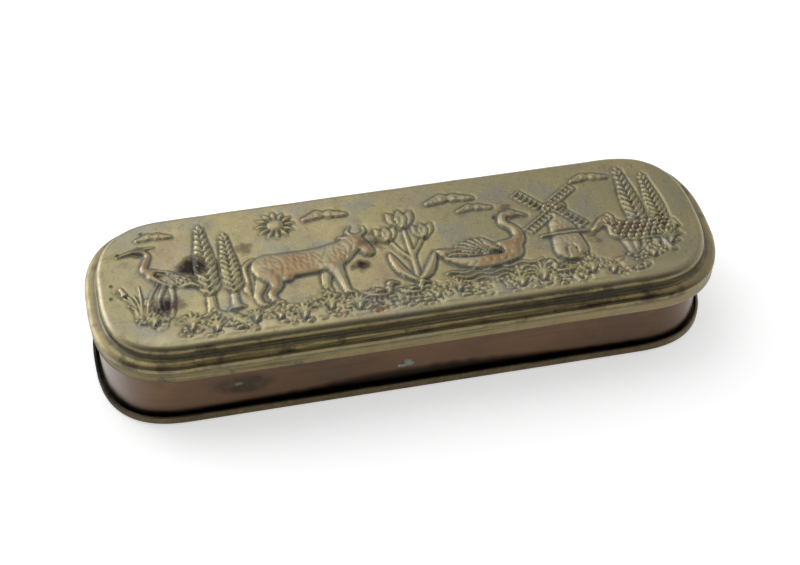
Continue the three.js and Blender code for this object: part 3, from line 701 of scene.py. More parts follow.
# height in mm of the stamped picture at points of the field
def stampedPicture(x, y):
    s = pasture
    hills = s["ground"] + 1.2 * np.sin(x * 0.21 + 0.6) + 0.8 * np.sin(x * 0.53 + 2.0) + 0.3 * np.sin(x * 1.3)
    ends = np.clip((s["groundEnd"] - np.abs(x)) / s["groundFade"], 0, 1)
    ground = s["groundLift"] * ends * np.clip((hills - y) / 1.1, 0, 1) ** 0.6
    relief = {"spots": x + 1j * y, "rise": ground}
    rng = np.random.default_rng(s["stoneSeed"])
    for k in range(s["stones"]):  # clods and stones in the ground
        stoneX = rng.uniform(-67, 67)
        stoneY = rng.uniform(-22.0, -15.0) + 0.03 * max(abs(stoneX) - 52, 0) ** 2
        length, lean, r = rng.uniform(0.3, 1.6), rng.uniform(-0.4, 0.4), rng.uniform(0.4, 0.8)
        stone = [(stoneX, stoneY, r), (stoneX + length, stoneY + lean, r * 0.8)]
        swell(relief, [stone], 0.2, 0.7, moat=0.1, under=0.9)
    for tree in s["poplars"]:
        drawPoplar(relief, *tree)
    drawMill(relief, *s["mill"])
    for k in range(s["reeds"]):  # reeds in one clump, two of them with a seed head
        footX, footY = s["reedsFrom"][0] + 0.3 * k, s["reedsFrom"][1] - 0.15 * k
        lean, tall = 1.25 * k - 5.2, 9.5 + 3.5 * math.sin(1.9 * k + 0.6)
        bend, tip = (footX + 0.25 * lean, footY + 0.55 * tall), (footX + lean, footY + tall)
        swell(relief, [[(footX, footY, 0.5), (*bend, 0.42), (*tip, 0.2)]], 0.42, 0.6, moat=0.1)
        if k in s["seedHeads"]:
            head = [(footX + 0.8 * lean, footY + 0.86 * tall, 0.75), (tip[0], footY + 1.05 * tall, 0.6)]
            swell(relief, [head], 0.5, 0.8)
    for row in range(s["ripples"]):  # in the water, under the swan
        start, level = s["ripplesFrom"][0] + 1.5 * row, s["ripplesFrom"][1] - 1.7 * row
        steps = range(22 - row * 3)
        ripple = [(start + 1.2 * k, level + 0.45 * math.sin(k * 1.25 + row), 0.38) for k in steps]
        swell(relief, [ripple], 0.36, 0.55, moat=0.1)
    for figure, atX, atY, size, facing in s["figures"]:
        drawFigure(relief, figure, (atX, atY), size, facing)
    for k, at in enumerate(s["tufts"]):  # grass, every other tuft in flower
        level = s["tuftLevel"] + 0.9 * math.sin(k * 2.3) + 0.035 * max(abs(at) - 55, 0) ** 2
        drawTuft(relief, at, level, 5 + 2 * (k % 2), 4.8 + 1.3 * math.sin(k * 1.3), k % 2 == 0)
    return np.maximum(relief["rise"], s["deepest"])


# lid panel

lidSheet = 0.7  # thickness of the lid's sheet, panel and skirt
lidPanel = {
    "columns": 1200,        # points round the field; the border has half, the underside a quarter
    "fieldRings": 60,
    "underRings": 16,
    "mouthClearance": 0.3,  # under the ledge, over the wall's mouth
    "beadBulge": 0.35, "beadRound": 0.4,
    "ovoloWidth": 2.05, "ovoloDrop": 0.8,
    "coveRadius": 0.8, "flankHeight": 0.7, "shoulderRadius": 1.8,
    "edgeWobble": 0.10,     # unevenness of the border
    "fieldWobble": 0.12,    # slow dents in the flat field
    "dentFade": 0.4,        # share of the way in over which the dents start
    "reliefFade": 0.06,     # the same for the picture
    "underShare": 0.62, "underLift": 0.8,  # how much of the picture shows behind, and its tallest there
    "bloom": (2.8, 0.30, 0.58),    # tarnish and painted shade round the forms: (blur in grid steps, depth at its full, share)
    "contactShade": (1.1, 0.16, 0.42),  # the same for painted shade close against the forms
    "rubFrom": 0.22, "rubOver": 0.45,  # height at which rubbing starts, and over which it grows
    "pits": [  # old punctures: (x, y, radius)
        (26.1, 6.5, 0.75), (-28.1, 12.8, 0.6), (-72.6, 12.2, 0.6), (-75.4, 1.2, 0.5), (-75.8, -3.4, 0.5),
        (-65.8, 19.4, 0.6),
    ],
    "pitDepth": 0.22,
    "bruises": [  # stains: (x, y, half width, half height, strength)
        (-62, -9, 7.0, 5.0, 1.1), (-55, 4, 6.5, 5.5, 1.2), (-8, 4, 6.0, 8.0, 0.9), (-12, -5, 5.0, 4.0, 1.05),
        (-41, 8, 5.0, 5.0, 0.85), (30, 9, 6.0, 4.0, 0.8), (-68, 12, 5.0, 4.0, 0.85), (50, -6, 6.0, 5.0, 0.8),
    ],
    "frontWear": 0.85, "frontWearAt": 1.8, "frontWearSpread": 2.4,  # rubbing along the field's front edge
    # strength of the border's grime and painted shade, and of its stains
    "borderDirtAndShade": 0.9, "borderStain": 0.62,
    "plainEnds": (60, 76), "plainShare": 0.5,  # the border's streaks fade between these, towards the tips
}
skirtLow, skirtHigh = boxOf("lid_skirt")
wallLow, wallHigh = boxOf("body_wall")
trayLow, trayHigh = boxOf("base_tray")
skirtInset = rimHigh[1] - skirtHigh[1]
skirtInner = skirtInset + lidSheet
wallInset = rimHalf[1] - wallHigh[1]
trayInset = rimHalf[1] - trayHigh[1]


# blur over a field's rings and columns, carried across the middle line to the other side
def blurField(rise, spread):
    rows, columns = rise.shape
    across = (columns - np.arange(columns)) % columns
    whole = np.vstack([rise, rise[-2::-1][:, across]])
    reach = int(3 * spread)
    weights = np.exp(-0.5 * (np.arange(-reach, reach + 1) / spread) ** 2)
    weights /= weights.sum()
    padded = np.pad(whole, ((reach, reach), (0, 0)), mode="edge")
    rowsDone = sum(w * padded[k:k + len(whole)] for k, w in enumerate(weights))
    done = sum(w * np.roll(rowsDone, k - reach, axis=1) for k, w in enumerate(weights))
    return done[:rows]


# the border's section from the rim's underside to the field: (inset, height, grime with painted shade, rub
# with painted highlight, streak)
def borderSection(s, rimZ, beadTop, ledge, shoulderZ, coveOuter, fieldEdge):
    parts = [
        # bead: its underside is dark, painted shade
        (arcPoints((s["beadBulge"], rimZ + s["beadRound"]), (s["beadBulge"], s["beadRound"]), 270, 180, 4),
         (1, 1, 0.9, 0.4, 0.03), (0, 0, 0, 0.1, 0.3), 0.55),
        (arcPoints((s["beadBulge"], beadTop - s["beadRound"]), (s["beadBulge"], s["beadRound"]), 180, 115, 3),
         (0.1, 0.08, 0.08, 0.14), (0.15, 0.15, 0.1, 0.1), 0.6),
        (arcPoints((coveOuter, beadTop), (s["ovoloWidth"], s["ovoloDrop"]), 165, 90, 7),
         (0.15, 0.05, 0, 0.03, 0.08, 0.14, 0.22, 0.34), (0,) * 8, 0.95),
        (arcPoints((coveOuter, ledge + s["coveRadius"]), (s["coveRadius"], s["coveRadius"]), 270, 360, 5)[1:],
         (0.34, 0.46, 0.48, 0.42, 0.32), (0,) * 5, 0.95),
        # shoulder: its rub paints a pale highlight band along the top, besides wear
        (arcPoints((fieldEdge, shoulderZ), (s["shoulderRadius"], s["shoulderRadius"]), 180, 90, 9),
         (0.14, 0.1, 0.06, 0.02, 0, 0, 0, 0, 0, 0), (0, 0.1, 0.2, 0.3, 0.5, 0.6, 0.6, 0.5, 0.2, 0), 0.75),
    ]
    # under the rim the grime is painted shade
    section = [(skirtInner, rimZ, 0.9, 0, 0), (skirtInset - 0.05, rimZ, 0.9, 0, 0)]
    for k, (points, grimes, rubs, streak) in enumerate(parts):
        fadeBy = 1.6 if k == len(parts) - 1 else 0  # the shoulder's streaks end short of the field
        fades = [streak * max(1 - fadeBy * j / (len(points) - 1), 0) for j in range(len(points))]
        section += [(*p, g, r, f) for p, g, r, f in zip(points, grimes, rubs, fades)]
    return section


def makeLidPanel(s):
    fine, middle, coarse = (planCurve(s["columns"] // share) for share in (1, 2, 4))
    rimZ = rimLow[2]
    ledgeUnder = wallHigh[2] + s["mouthClearance"]
    ledge = ledgeUnder + lidSheet
    beadTop = ledge - s["ovoloDrop"]
    coveOuter = s["beadBulge"] + s["ovoloWidth"]
    flank = coveOuter + s["coveRadius"]
    fieldEdge = flank + s["shoulderRadius"]
    shoulderZ = ledge + s["coveRadius"] + s["flankHeight"]
    fieldZ = shoulderZ + s["shoulderRadius"]
    underRadius = s["shoulderRadius"] - lidSheet
    border = borderSection(s, rimZ, beadTop, ledge, shoulderZ, coveOuter, fieldEdge)
    under = arcPoints((fieldEdge, shoulderZ), (underRadius, underRadius), 90, 180, 4)
    flankUnder = flank + lidSheet
    under += [(flankUnder, ledgeUnder + 0.3), (flankUnder - 0.3, ledgeUnder), (skirtInner, ledgeUnder)]

    # field: rings from the edge to the middle line, raised by the picture
    edgeTop = planRing(fine, fieldEdge, fieldZ)
    fieldRings = panelRings(edgeTop, s["fieldRings"])
    folded = np.minimum(np.arange(s["columns"]), s["columns"] - np.arange(s["columns"]))
    grid = np.array([edgeTop, *fieldRings[:-1], fieldRings[-1][folded]])
    share = np.arange(s["fieldRings"] + 1)[:, None] / s["fieldRings"]
    fade = np.clip(share / s["reliefFade"], 0, 1)
    fade = fade * fade * (3 - 2 * fade)
    x, y = grid[..., 0], grid[..., 1]
    rise = stampedPicture(x.ravel(), y.ravel()).reshape(x.shape) * fade
    (wideBlur, wideDepth, wideShare), (nearBlur, nearDepth, nearShare) = s["bloom"], s["contactShade"]
    # moats round the forms darken: tarnish in the wide bloom, painted shade in the close band
    bloom = np.clip((blurField(rise, wideBlur) - rise) / wideDepth, 0, 1)
    contactShade = np.clip((blurField(rise, nearBlur) - rise) / nearDepth, 0, 1)
    hollow = np.clip(wideShare * bloom + nearShare * contactShade ** 2, 0, 1)
    proud = np.clip((rise - s["rubFrom"]) / s["rubOver"], 0, 1)
    fromFront = (y - y.min() - s["frontWearAt"]) / s["frontWearSpread"]
    proud = np.maximum(proud, s["frontWear"] * np.exp(-fromFront ** 2))
    bruised = np.zeros(x.shape)
    for a, b, wide, tall, strength in s["bruises"]:
        away = ((x - a) / wide) ** 2 + ((y - b) / tall) ** 2
        bruised = np.maximum(bruised, strength * np.exp(-away))
    for a, b, r in s["pits"]:
        dip = np.exp(-(np.hypot(x - a, y - b) / r) ** 4)
        rise -= s["pitDepth"] * dip
        hollow = np.maximum(hollow, dip)
    # slow dents of long use
    slowDents = np.sin(x * 0.083 + 1.0) * np.sin(y * 0.16 + 0.4) + 0.5 * np.sin(x * 0.19 - y * 0.13)
    inwards = np.clip(share / s["dentFade"], 0, 1)
    grid[..., 2] += rise + s["fieldWobble"] * slowDents * inwards * inwards * (3 - 2 * inwards)

    # underside: the same picture from behind, softened by the sheet
    edgeUnder = planRing(coarse, fieldEdge, fieldZ - lidSheet)
    underField = panelRings(edgeUnder, s["underRings"])
    for k, ring in enumerate(underField, 1):
        inside = np.clip(k / s["underRings"] / (3 * s["reliefFade"]), 0, 1)
        behind = np.clip(stampedPicture(ring[:, 0], ring[:, 1]), 0, s["underLift"])
        ring[:, 2] += s["underShare"] * behind * inside

    rings, layers = [], {"grime": [], "rub": [], "streak": [], "across": [], "bruise": [], "damp": []}

    def addRing(ring, **values):
        rings.append(ring)
        for key, column in layers.items():
            column.append(np.broadcast_to(values.get(key, 0.0), len(ring)))

    for ring in underField[::-1]:
        addRing(ring, grime=0.25)
    for inset, height in under:
        addRing(planRing(coarse, inset, height), grime=0.4)
    count = len(middle)
    sway = handWobble(count, 3, s["edgeWobble"])
    lift = handWobble(count, 4, s["edgeWobble"])
    # the border's grime, with the painted shade under the rim and bead, is made uneven round the box
    stain = s["borderDirtAndShade"] + handWobble(count, 5, 0.25, waves=6)
    plain = 1 - np.interp(np.abs(middle[:, 0]), s["plainEnds"], (0, s["plainShare"]))
    blotched = s["borderStain"] + handWobble(count, 6, 0.12, waves=7)
    across = 0.0
    for k, (inset, height, dirtAndShade, wearAndHighlight, streak) in enumerate(border):
        ease = min(k / 3, 1) * min((len(border) - 1 - k) / 6, 1)  # nothing at the skirt and the field
        if k:
            across += math.hypot(inset - border[k - 1][0], height - border[k - 1][1])
        dirtAndShade = np.clip(dirtAndShade * stain, 0, 1)
        ring = planRing(middle, inset + sway * ease, height + lift * ease)
        addRing(ring, grime=dirtAndShade, rub=wearAndHighlight, streak=streak * plain, across=across,
                damp=dirtAndShade * (inset > coveOuter), bruise=blotched * ease)
    for k in range(1, s["fieldRings"] + 1):
        pick = slice(0, s["columns"] // 2 + 1) if k == s["fieldRings"] else slice(None)
        addRing(grid[k][pick], grime=hollow[k][pick], rub=proud[k][pick], across=across,
                damp=hollow[k][pick], bruise=bruised[k][pick])
    for ring in rings:
        ring[:, 0] += lidCentreX
    layers = {key: np.concatenate(column) for key, column in layers.items()}
    return makePiece("lid_panel_stamped", np.vstack(rings), joinRings(rings), "lid", lidBrass,
                     ["lid_panel"], layers)


lidShell = makeLidPanel(lidPanel)
print("lid panel:", len(lidShell.data.polygons), "faces")


# bands of sheet: lid skirt, copper wall

def makeBand(name, section, columns, shiftX, body, material, replaced, swayOf, layersOf):
    curve = planCurve(columns)
    rings = [planRing(curve, inset + swayOf(height), height, shiftX) for inset, height in section]
    points = np.vstack(rings)
    faces = joinRings(rings, closed=True)
    return makePiece(name, points, faces, body, material, [replaced], layersOf(points))


lidSkirt = {
    "columns": 480, "footRoll": 0.16, "edgeRound": 0.18, "wobble": 0.07,
    "shadeReach": 0.5, "shadeEdge": 0.4, "shadeUneven": 0.3,         # painted shade under the bead
    "footRub": 0.3, "footRubAt": 0.25, "footRubSpread": 0.35,        # wear on the rolled foot
    "grime": 0.12, "streak": 0.76,                                   # at the middle of the box
    "rightGrime": -0.08, "rightStreak": -0.12, "rightRub": 0.4,      # and what the right tip adds
}


def makeLidSkirt(s):
    foot, top, outer = skirtLow[2], skirtHigh[2], skirtInset
    inner, middle = outer + lidSheet, (foot + top) / 2
    r, roll = s["edgeRound"], s["footRoll"]
    section = [(inner, foot + r), *arcPoints((inner - r, foot + r), (r, r), 0, -90, 3)[1:]]
    section += arcPoints((outer + r, foot + r), (r + roll, r), 270, 180, 4)
    section += [(outer - roll, foot + 3 * r), (outer - roll * 0.4, foot + 4.5 * r), (outer, foot + 6 * r)]
    section += [(outer, middle + 0.4), (outer, top - 0.3), (outer, top), (inner, top), (inner, middle)]
    wave = handWobble(s["columns"], 11, s["wobble"])

    def sway(height):
        return wave * np.clip(top - height, 0, 1)

    def layers(points):
        heights = points[:, 2]
        ragged = np.tile(0.8 + handWobble(s["columns"], 12, s["shadeUneven"], waves=6), len(section))
        # painted shade just under the bead, ragged round the rim
        underBead = np.clip((heights - top + s["shadeReach"]) / s["shadeEdge"], 0, 1)
        footEdge = np.exp(-((heights - foot - s["footRubAt"]) / s["footRubSpread"]) ** 2)
        toRight = np.clip(points[:, 0] / rimHalf[0], -1, 1)
        return {
            "grime": np.clip(underBead * ragged, s["grime"] + s["rightGrime"] * toRight, 1),
            "rub": np.clip(s["footRub"] * footEdge + s["rightRub"] * toRight, 0, 1),
            "streak": s["streak"] + s["rightStreak"] * toRight, "across": heights,
        }

    return makeBand("lid_skirt_band", section, s["columns"], lidCentreX, "lid", lidBrass,
                    "lid_skirt", sway, layers)


makeLidSkirt(lidSkirt)

copperWall = {
    "columns": 800, "sheet": 0.7, "edgeRound": 0.2, "rows": 34, "wobble": 0.12,
    "verdigris": [(-44.5, 9.4, 19, 8, 0.8), (-46.2, 9.9, 2.6, 2.0, 1.3)],  # (x, z, long, tall, strength)
    "sheenFrom": 62, "sheenTo": 80.5,
    "footShadeAt": 2, "footShadeLong": 46, "footShadeLow": 0.7, "footShadeHigh": 4.4,  # painted shade and reflection: black at the foot, tallest at mid front
    "footShadeEdge": 2.2, "footShadeUneven": 0.4,
    "lessShadeEnd": (60, 76), "lessShadeBy": 1.2,                              # the right end has less of it
    "skirtShade": 0.6, "skirtShadeReach": 0.8, "skirtShadeEdge": 1.2,  # painted shade under the skirt
}


def makeCopperWall(s):
    foot, top, outer = wallLow[2], wallHigh[2], wallInset
    inner = outer + s["sheet"]
    r = s["edgeRound"]
    levels = np.linspace(foot, top - r, s["rows"])
    section = [(outer, z) for z in levels] + arcPoints((outer + r, top - r), (r, r), 180, 90, 3)[1:]
    section += arcPoints((inner - r, top - r), (r, r), 90, 0, 3)
    section += [(inner, z) for z in levels[-2::-3]] + [(inner, foot)]
    slow = handWobble(s["columns"], 21, s["wobble"])
    slower = handWobble(s["columns"], 22, s["wobble"])

    def sway(height):
        depth = math.sin(math.pi * np.clip((height - foot) / (top - foot), 0, 1))
        return (slow + slower * math.cos(3 * height / top)) * depth

    def layers(points):
        along, heights = points[:, 0], points[:, 2]
        front = points[:, 1] < -rimHalf[1] + inner - 0.2
        # painted shade and reflection: a black band up the foot, tallest near the middle of the front, ragged
        # at its top and lower at the right end
        fromMiddle = (along - s["footShadeAt"]) / s["footShadeLong"]
        stain = s["footShadeLow"] + s["footShadeHigh"] * np.exp(-fromMiddle ** 2) * front
        stain += np.tile(handWobble(s["columns"], 23, s["footShadeUneven"], slowest=5, waves=14), len(section))
        stain -= np.interp(along, s["lessShadeEnd"], (0, s["lessShadeBy"]))
        dirtAndShade = np.clip((stain - heights + foot) / s["footShadeEdge"] + 0.5, 0, 1)
        # painted shade under the skirt
        shade = (heights - skirtLow[2] + s["skirtShadeReach"]) / s["skirtShadeEdge"]
        dirtAndShade += s["skirtShade"] * np.clip(shade, 0, 1)
        # painted sheen, growing towards both tips
        ends = np.clip((np.abs(along) - s["sheenFrom"]) / (s["sheenTo"] - s["sheenFrom"]), 0, 1)
        film = np.zeros(len(points))
        for x, z, long, tall, strength in s["verdigris"]:
            reach = ((along - x) / (long / 2)) ** 2 + ((heights - z) / (tall / 2)) ** 2
            film = np.maximum(film, strength * np.exp(-reach ** 1.5) * front)
        return {"grime": np.clip(dirtAndShade, 0, 1), "verdigris": film, "endSheen": ends ** 1.5}

    return makeBand("body_wall_copper", section, s["columns"], 0, "box", wallCopper,
                    "body_wall", sway, layers)


makeCopperWall(copperWall)

# drop of solder over an old hole in the front: a rough three-cornered lump with a tail where it ran
solderDrop = {
    "x": -2.6, "z": 7.9, "radius": 1.25, "uneven": 0.06, "rise": 0.5, "sunk": 0.3, "rings": 12, "sides": 64,
    "corners": [(98, 0.8, 3), (194, 2.3, 8), (-24, 0.7, 4)],  # (angle, reach beyond the radius, sharpness)
}


def makeSolderDrop(s):
    angles = 2 * math.pi * np.arange(s["sides"]) / s["sides"]
    reach = s["radius"] * (1 + s["uneven"] * np.sin(5 * angles + 0.6))
    for angle, beyond, sharp in s["corners"]:
        reach = reach + beyond * np.clip(np.cos(angles - math.radians(angle)), 0, 1) ** sharp
    face = wallInset - rimHalf[1] + s["sunk"]
    rings = []
    for t in np.linspace(0, 1, s["rings"])[:0:-1]:
        lift = (s["rise"] + s["sunk"]) * (1 - t * t) ** 0.8
        x, z = s["x"] + t * reach * np.cos(angles), s["z"] + t * reach * np.sin(angles)
        rings.append(np.array([x, np.full(s["sides"], face - lift), z]).T)
    return makePiece("wall_solder_drop", np.vstack(rings), joinRings(rings, capped=True), "box", oldSolder)


makeSolderDrop(solderDrop)

# solder over the wall's joint, at the back beside the hinge
solderSeam = {
    "x": 46, "halfWidth": 1.0, "rise": 0.3, "sunk": 0.4, "rows": 36, "sides": 8,
    "footAt": 0.8, "clearance": 0.4,                       # where it starts, and the gap left below the skirt
    "uneven": 0.06, "unevenRise": 0.05, "wander": 0.15,
}


def makeSeamSolder(s):
    face = rimHalf[1] - wallInset - s["sunk"]
    foot, top = trayLow[2] + s["footAt"], skirtLow[2] - s["clearance"]
    rings = []
    for k, z in enumerate(np.linspace(foot, top, s["rows"])):
        wave = math.sin(1.3 * k) + math.sin(2.9 * k + 1) / 2
        wide = s["halfWidth"] * (1 + s["uneven"] * wave)
        lift = (s["rise"] + s["sunk"]) * (1 + s["unevenRise"] * math.sin(2.1 * k))
        middle = s["x"] + s["wander"] * math.sin(0.7 * k)
        section = arcPoints((middle, face), (wide, lift), 0, 180, s["sides"])
        rings.append(np.array([(x, y, z) for x, y in section]))
    return makePiece("wall_seam_solder", np.vstack(rings), joinRings(rings, capped=True), "box", oldSolder)


makeSeamSolder(solderSeam)

# tray: flat underside, upstanding lip, and the floor inside the wall
baseTray = {
    "columns": 480, "sheet": 0.8, "corner": 0.6, "edgeRound": 0.25, "floorRings": 10, "wobble": 0.12,
    "underGrime": 0.55, "lipGrime": 0.3, "footGrime": 0.9, "floorGrime": 0.35,
    "tipShade": 72, "tipShadeEdge": 6, "tipShadeDepth": 0.9,  # painted shade: the left tip is black from here out
    "lessShadeEnd": (60, 76), "lessShadeShare": 0.45,            # and the right one has less of the darkening
}


def makeBaseTray(s):
    curve = planCurve(s["columns"])
    top, outer = trayHigh[2], trayInset
    inner = outer + s["sheet"]
    r, corner, lip = s["edgeRound"], s["corner"], s["lipGrime"]
    parts = [  # the lip's section with its grime and painted shade, and its rub
        (arcPoints((outer + corner, corner), (corner, corner), 270, 180, 5), [lip] * 6, [0] * 6),
        ([(outer, (top + corner) / 2)], [lip], [0]),
        (arcPoints((outer + r, top - r), (r, r), 180, 90, 3), [lip] * 4, [0, 0.4, 0.6, 0.7]),
        (arcPoints((inner - r, top - r), (r, r), 90, 0, 3), [0, 0.1, 0.5, 0.9], [0.7, 0, 0, 0]),
        # inside the lip, facing the wall: black as painted shade in the gap
        ([(inner, top / 2 + 0.4), (inner, s["sheet"] + 0.15), (inner + 0.15, s["sheet"])], [1] * 3, [0] * 3),
    ]
    wave = handWobble(s["columns"], 31, s["wobble"])
    ripple = handWobble(s["columns"], 32, s["wobble"], slowest=6, waves=14)
    footEdge = planRing(curve, outer + corner + 0.5, 0.0)
    rings = [*panelRings(footEdge, s["floorRings"])[::-1], footEdge]
    dirtAndShade, wearAndHighlight = [s["underGrime"]] * len(rings), [0] * len(rings)
    for section, grimes, rubs in parts:
        for inset, height in section:
            high = np.clip((height - corner) / (top - corner), 0, 1)
            rings.append(planRing(curve, inset + wave * high, height + ripple * high))
        dirtAndShade += grimes
        wearAndHighlight += rubs
    floorEdge = planRing(curve, inner + 0.4, s["sheet"])
    rings += [floorEdge, *panelRings(floorEdge, s["floorRings"])]
    dirtAndShade += [s["footGrime"]] + [s["floorGrime"]] * s["floorRings"]
    wearAndHighlight += [0] * (s["floorRings"] + 1)
    points, counts = np.vstack(rings), [len(ring) for ring in rings]
    standing = points[:, 2] > 0  # the underside keeps an even tone
    # painted shade: the lip turns black towards the left tip, and the right end loses some of the darkening
    tip = standing * np.clip((-s["tipShade"] - points[:, 0]) / s["tipShadeEdge"], 0, 1)
    lessShade = np.where(standing, np.interp(points[:, 0], s["lessShadeEnd"], (1, s["lessShadeShare"])), 1)
    grime = np.maximum(np.repeat(dirtAndShade, counts) * lessShade, s["tipShadeDepth"] * tip)
    rub = np.repeat(wearAndHighlight, counts) * (1 - tip)
    return makePiece("base_tray_sheet", points, joinRings(rings), "box", sheetBrass,
                     ["base_tray"], {"grime": grime, "rub": rub})


makeBaseTray(baseTray)

# solder run round the inside of the wall's foot
footSolder = {"columns": 480, "width": 1.1, "height": 0.9, "wobble": 0.3, "sunk": 0.05}


def makeFootSolder(s):
    curve = planCurve(s["columns"])
    uneven = 1 + handWobble(s["columns"], 41, s["wobble"], slowest=9, waves=16)
    wallFace = wallInset + copperWall["sheet"] - s["sunk"]
    floor = trayLow[2] + baseTray["sheet"] - s["sunk"]
    hollow = [(1 - math.cos(a), 1 - math.sin(a)) for a in np.radians((20, 40, 60))]
    rings = []
    for outwards, upwards in [(0, 0), (0, 1), *hollow, (1, 0)]:
        inset, height = wallFace + outwards * s["width"] * uneven, floor + upwards * s["height"] * uneven
        rings.append(planRing(curve, inset, height))
    return makePiece("foot_solder", np.vstack(rings), joinRings(rings, closed=True), "box", solder)


makeFootSolder(footSolder)
print("skirt, wall, tray and solder made")


# hinge

# a round piece turned about the hinge's axis from (radius, along) points
def turnAlongX(profile, centre, sides, closed):
    angles = 2 * math.pi * np.arange(sides) / sides
    outY, outZ = np.cos(angles), np.sin(angles)
    rings = []
    for r, along in profile:
        rings.append(np.array([np.full(sides, along), centre[1] + r * outY, centre[2] + r * outZ]).T)
    return np.vstack(rings), joinRings(rings, closed, capped=not closed)


knuckles = [node for node in sorted(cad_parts) if "knuckle" in node]
knuckleBodies = {node: "lid" if "lid" in node else "box" for node in knuckles}
hingeTube = {
    "sides": 48, "bore": 0.95, "edgeRound": 0.16, "endBand": 1.2,
    "endGrime": 0.6, "endReach": 0.5, "rub": 0.5,  # dirty between the knuckles, rubbed on their lengths
}


def makeKnuckle(node, body, s):
    low, high = boxOf(node)
    centre, outer, r = (low + high) / 2, (high[2] - low[2]) / 2, s["edgeRound"]
    start, end, bore = low[0], high[0], s["bore"]
    profile = [(bore, start + r), *arcPoints((bore + r, start + r), (r, r), 180, 270, 3)[1:]]
    profile += arcPoints((outer - r, start + r), (r, r), 270, 360, 3)
    profile += [(outer, start + s["endBand"]), (outer, (start + end) / 2), (outer, end - s["endBand"])]
    profile += arcPoints((outer - r, end - r), (r, r), 0, 90, 3)
    profile += arcPoints((bore + r, end - r), (r, r), 90, 180, 3)
    points, faces = turnAlongX(profile, centre, s["sides"], True)
    gap = np.clip(1 - np.minimum(points[:, 0] - start, end - points[:, 0]) / s["endReach"], 0, 1)
    return makePiece(node + "_tube", points, faces, body, hingeBrass, [node],
                     {"grime": s["endGrime"] * gap, "rub": s["rub"] * (1 - gap)})


for node, body in knuckleBodies.items():
    makeKnuckle(node, body, hingeTube)

# solder that holds each knuckle in its bearer's trough, as (angle, radius) round the hinge's axis
hingeSolder = {
    "box": [(202, 1.76), (230, 1.76), (262, 1.76), (288, 1.78), (291, 2.05),
            (298, 1.42), (262, 1.38), (230, 1.38), (202, 1.40)],
    "lid": [(114, 2.05), (118, 1.78), (136, 1.76), (152, 1.76), (152, 1.40), (136, 1.38), (106, 1.42)],
    "steps": 24, "endGap": 0.3, "lump": 0.04, "lumpFrom": 2,  # what lies outside this radius is lumpy
}


def makeKnuckleSolder(node, body, s):
    low, high = boxOf(node)
    centre = (low + high) / 2
    rings = []
    for k, x in enumerate(np.linspace(low[0] + s["endGap"], high[0] - s["endGap"], s["steps"] + 1)):
        swollen = 1 + s["lump"] * math.sin(1.7 * k + low[0])
        spots = [(math.radians(angle), r * swollen if r > s["lumpFrom"] else r) for angle, r in s[body]]
        ring = [(x, centre[1] + r * math.cos(a), centre[2] + r * math.sin(a)) for a, r in spots]
        rings.append(np.array(ring))
    name = node.replace("knuckle", "solder")
    return makePiece(name, np.vstack(rings), joinRings(rings, capped=True), body, solder)


for node, body in knuckleBodies.items():
    makeKnuckleSolder(node, body, hingeSolder)

pinWire = {"sides": 40, "wire": 0.8, "headLength": 0.6, "domeShare": 0.75, "headTaper": 0.96}


def makePin(s):
    low, high = boxOf("hinge_pin")
    centre, head = (low + high) / 2, (high[2] - low[2]) / 2
    start, neck, domed = low[0], low[0] + s["headLength"], s["domeShare"] * s["headLength"]
    left = [(head * math.sin(a), start + domed * (1 - math.cos(a))) for a in np.radians((12, 30, 50, 70, 90))]
    left += [(head * s["headTaper"], neck), (s["wire"], neck)]
    right = [(r, low[0] + high[0] - along) for r, along in left][::-1]
    points, faces = turnAlongX(left + right, centre, s["sides"], False)
    return makePiece("hinge_pin_wire", points, faces, "box", wireBrass, ["hinge_pin"])


makePin(pinWire)

bearerStrip = {"weld": 0.002, "bevel": 0.12, "segments": 3}
for node in ("hinge_body_bearer", "hinge_lid_bearer"):
    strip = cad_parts[node]
    strip.data.materials.clear()
    strip.data.materials.append(hingeBrass)
    strip.modifiers.new("weld", "WELD").merge_threshold = bearerStrip["weld"] * mm
    bevel = strip.modifiers.new("soft edge", "BEVEL")
    bevel.width, bevel.segments = bearerStrip["bevel"] * mm, bearerStrip["segments"]
    bevel.limit_method = "ANGLE"
print("hinge made")


# stage: white floor that keeps the shadow, white surroundings, dim on the camera's side, and two soft lamps

stageLook = {
    "floorSize": 6.0, "floorDrop": 0.0002, "floorDiffuse": 0.8, "floorGlow": 0.52,
    "horizon": 1.0, "overhead": 0.66, "overheadFrom": 0.08, "overheadTo": 0.55,
    "cameraSide": 0.2, "sideFrom": -0.75, "sideTo": 0.15,  # share of the light on the camera's side
    "lamps": [  # (place, size, power)
        ((-0.16, 0.44, 0.70), 0.7, 1.85),                  # over the back
        ((-0.56, 0.42, 0.16), 0.55, 3.0),                  # low at the left
    ],
}


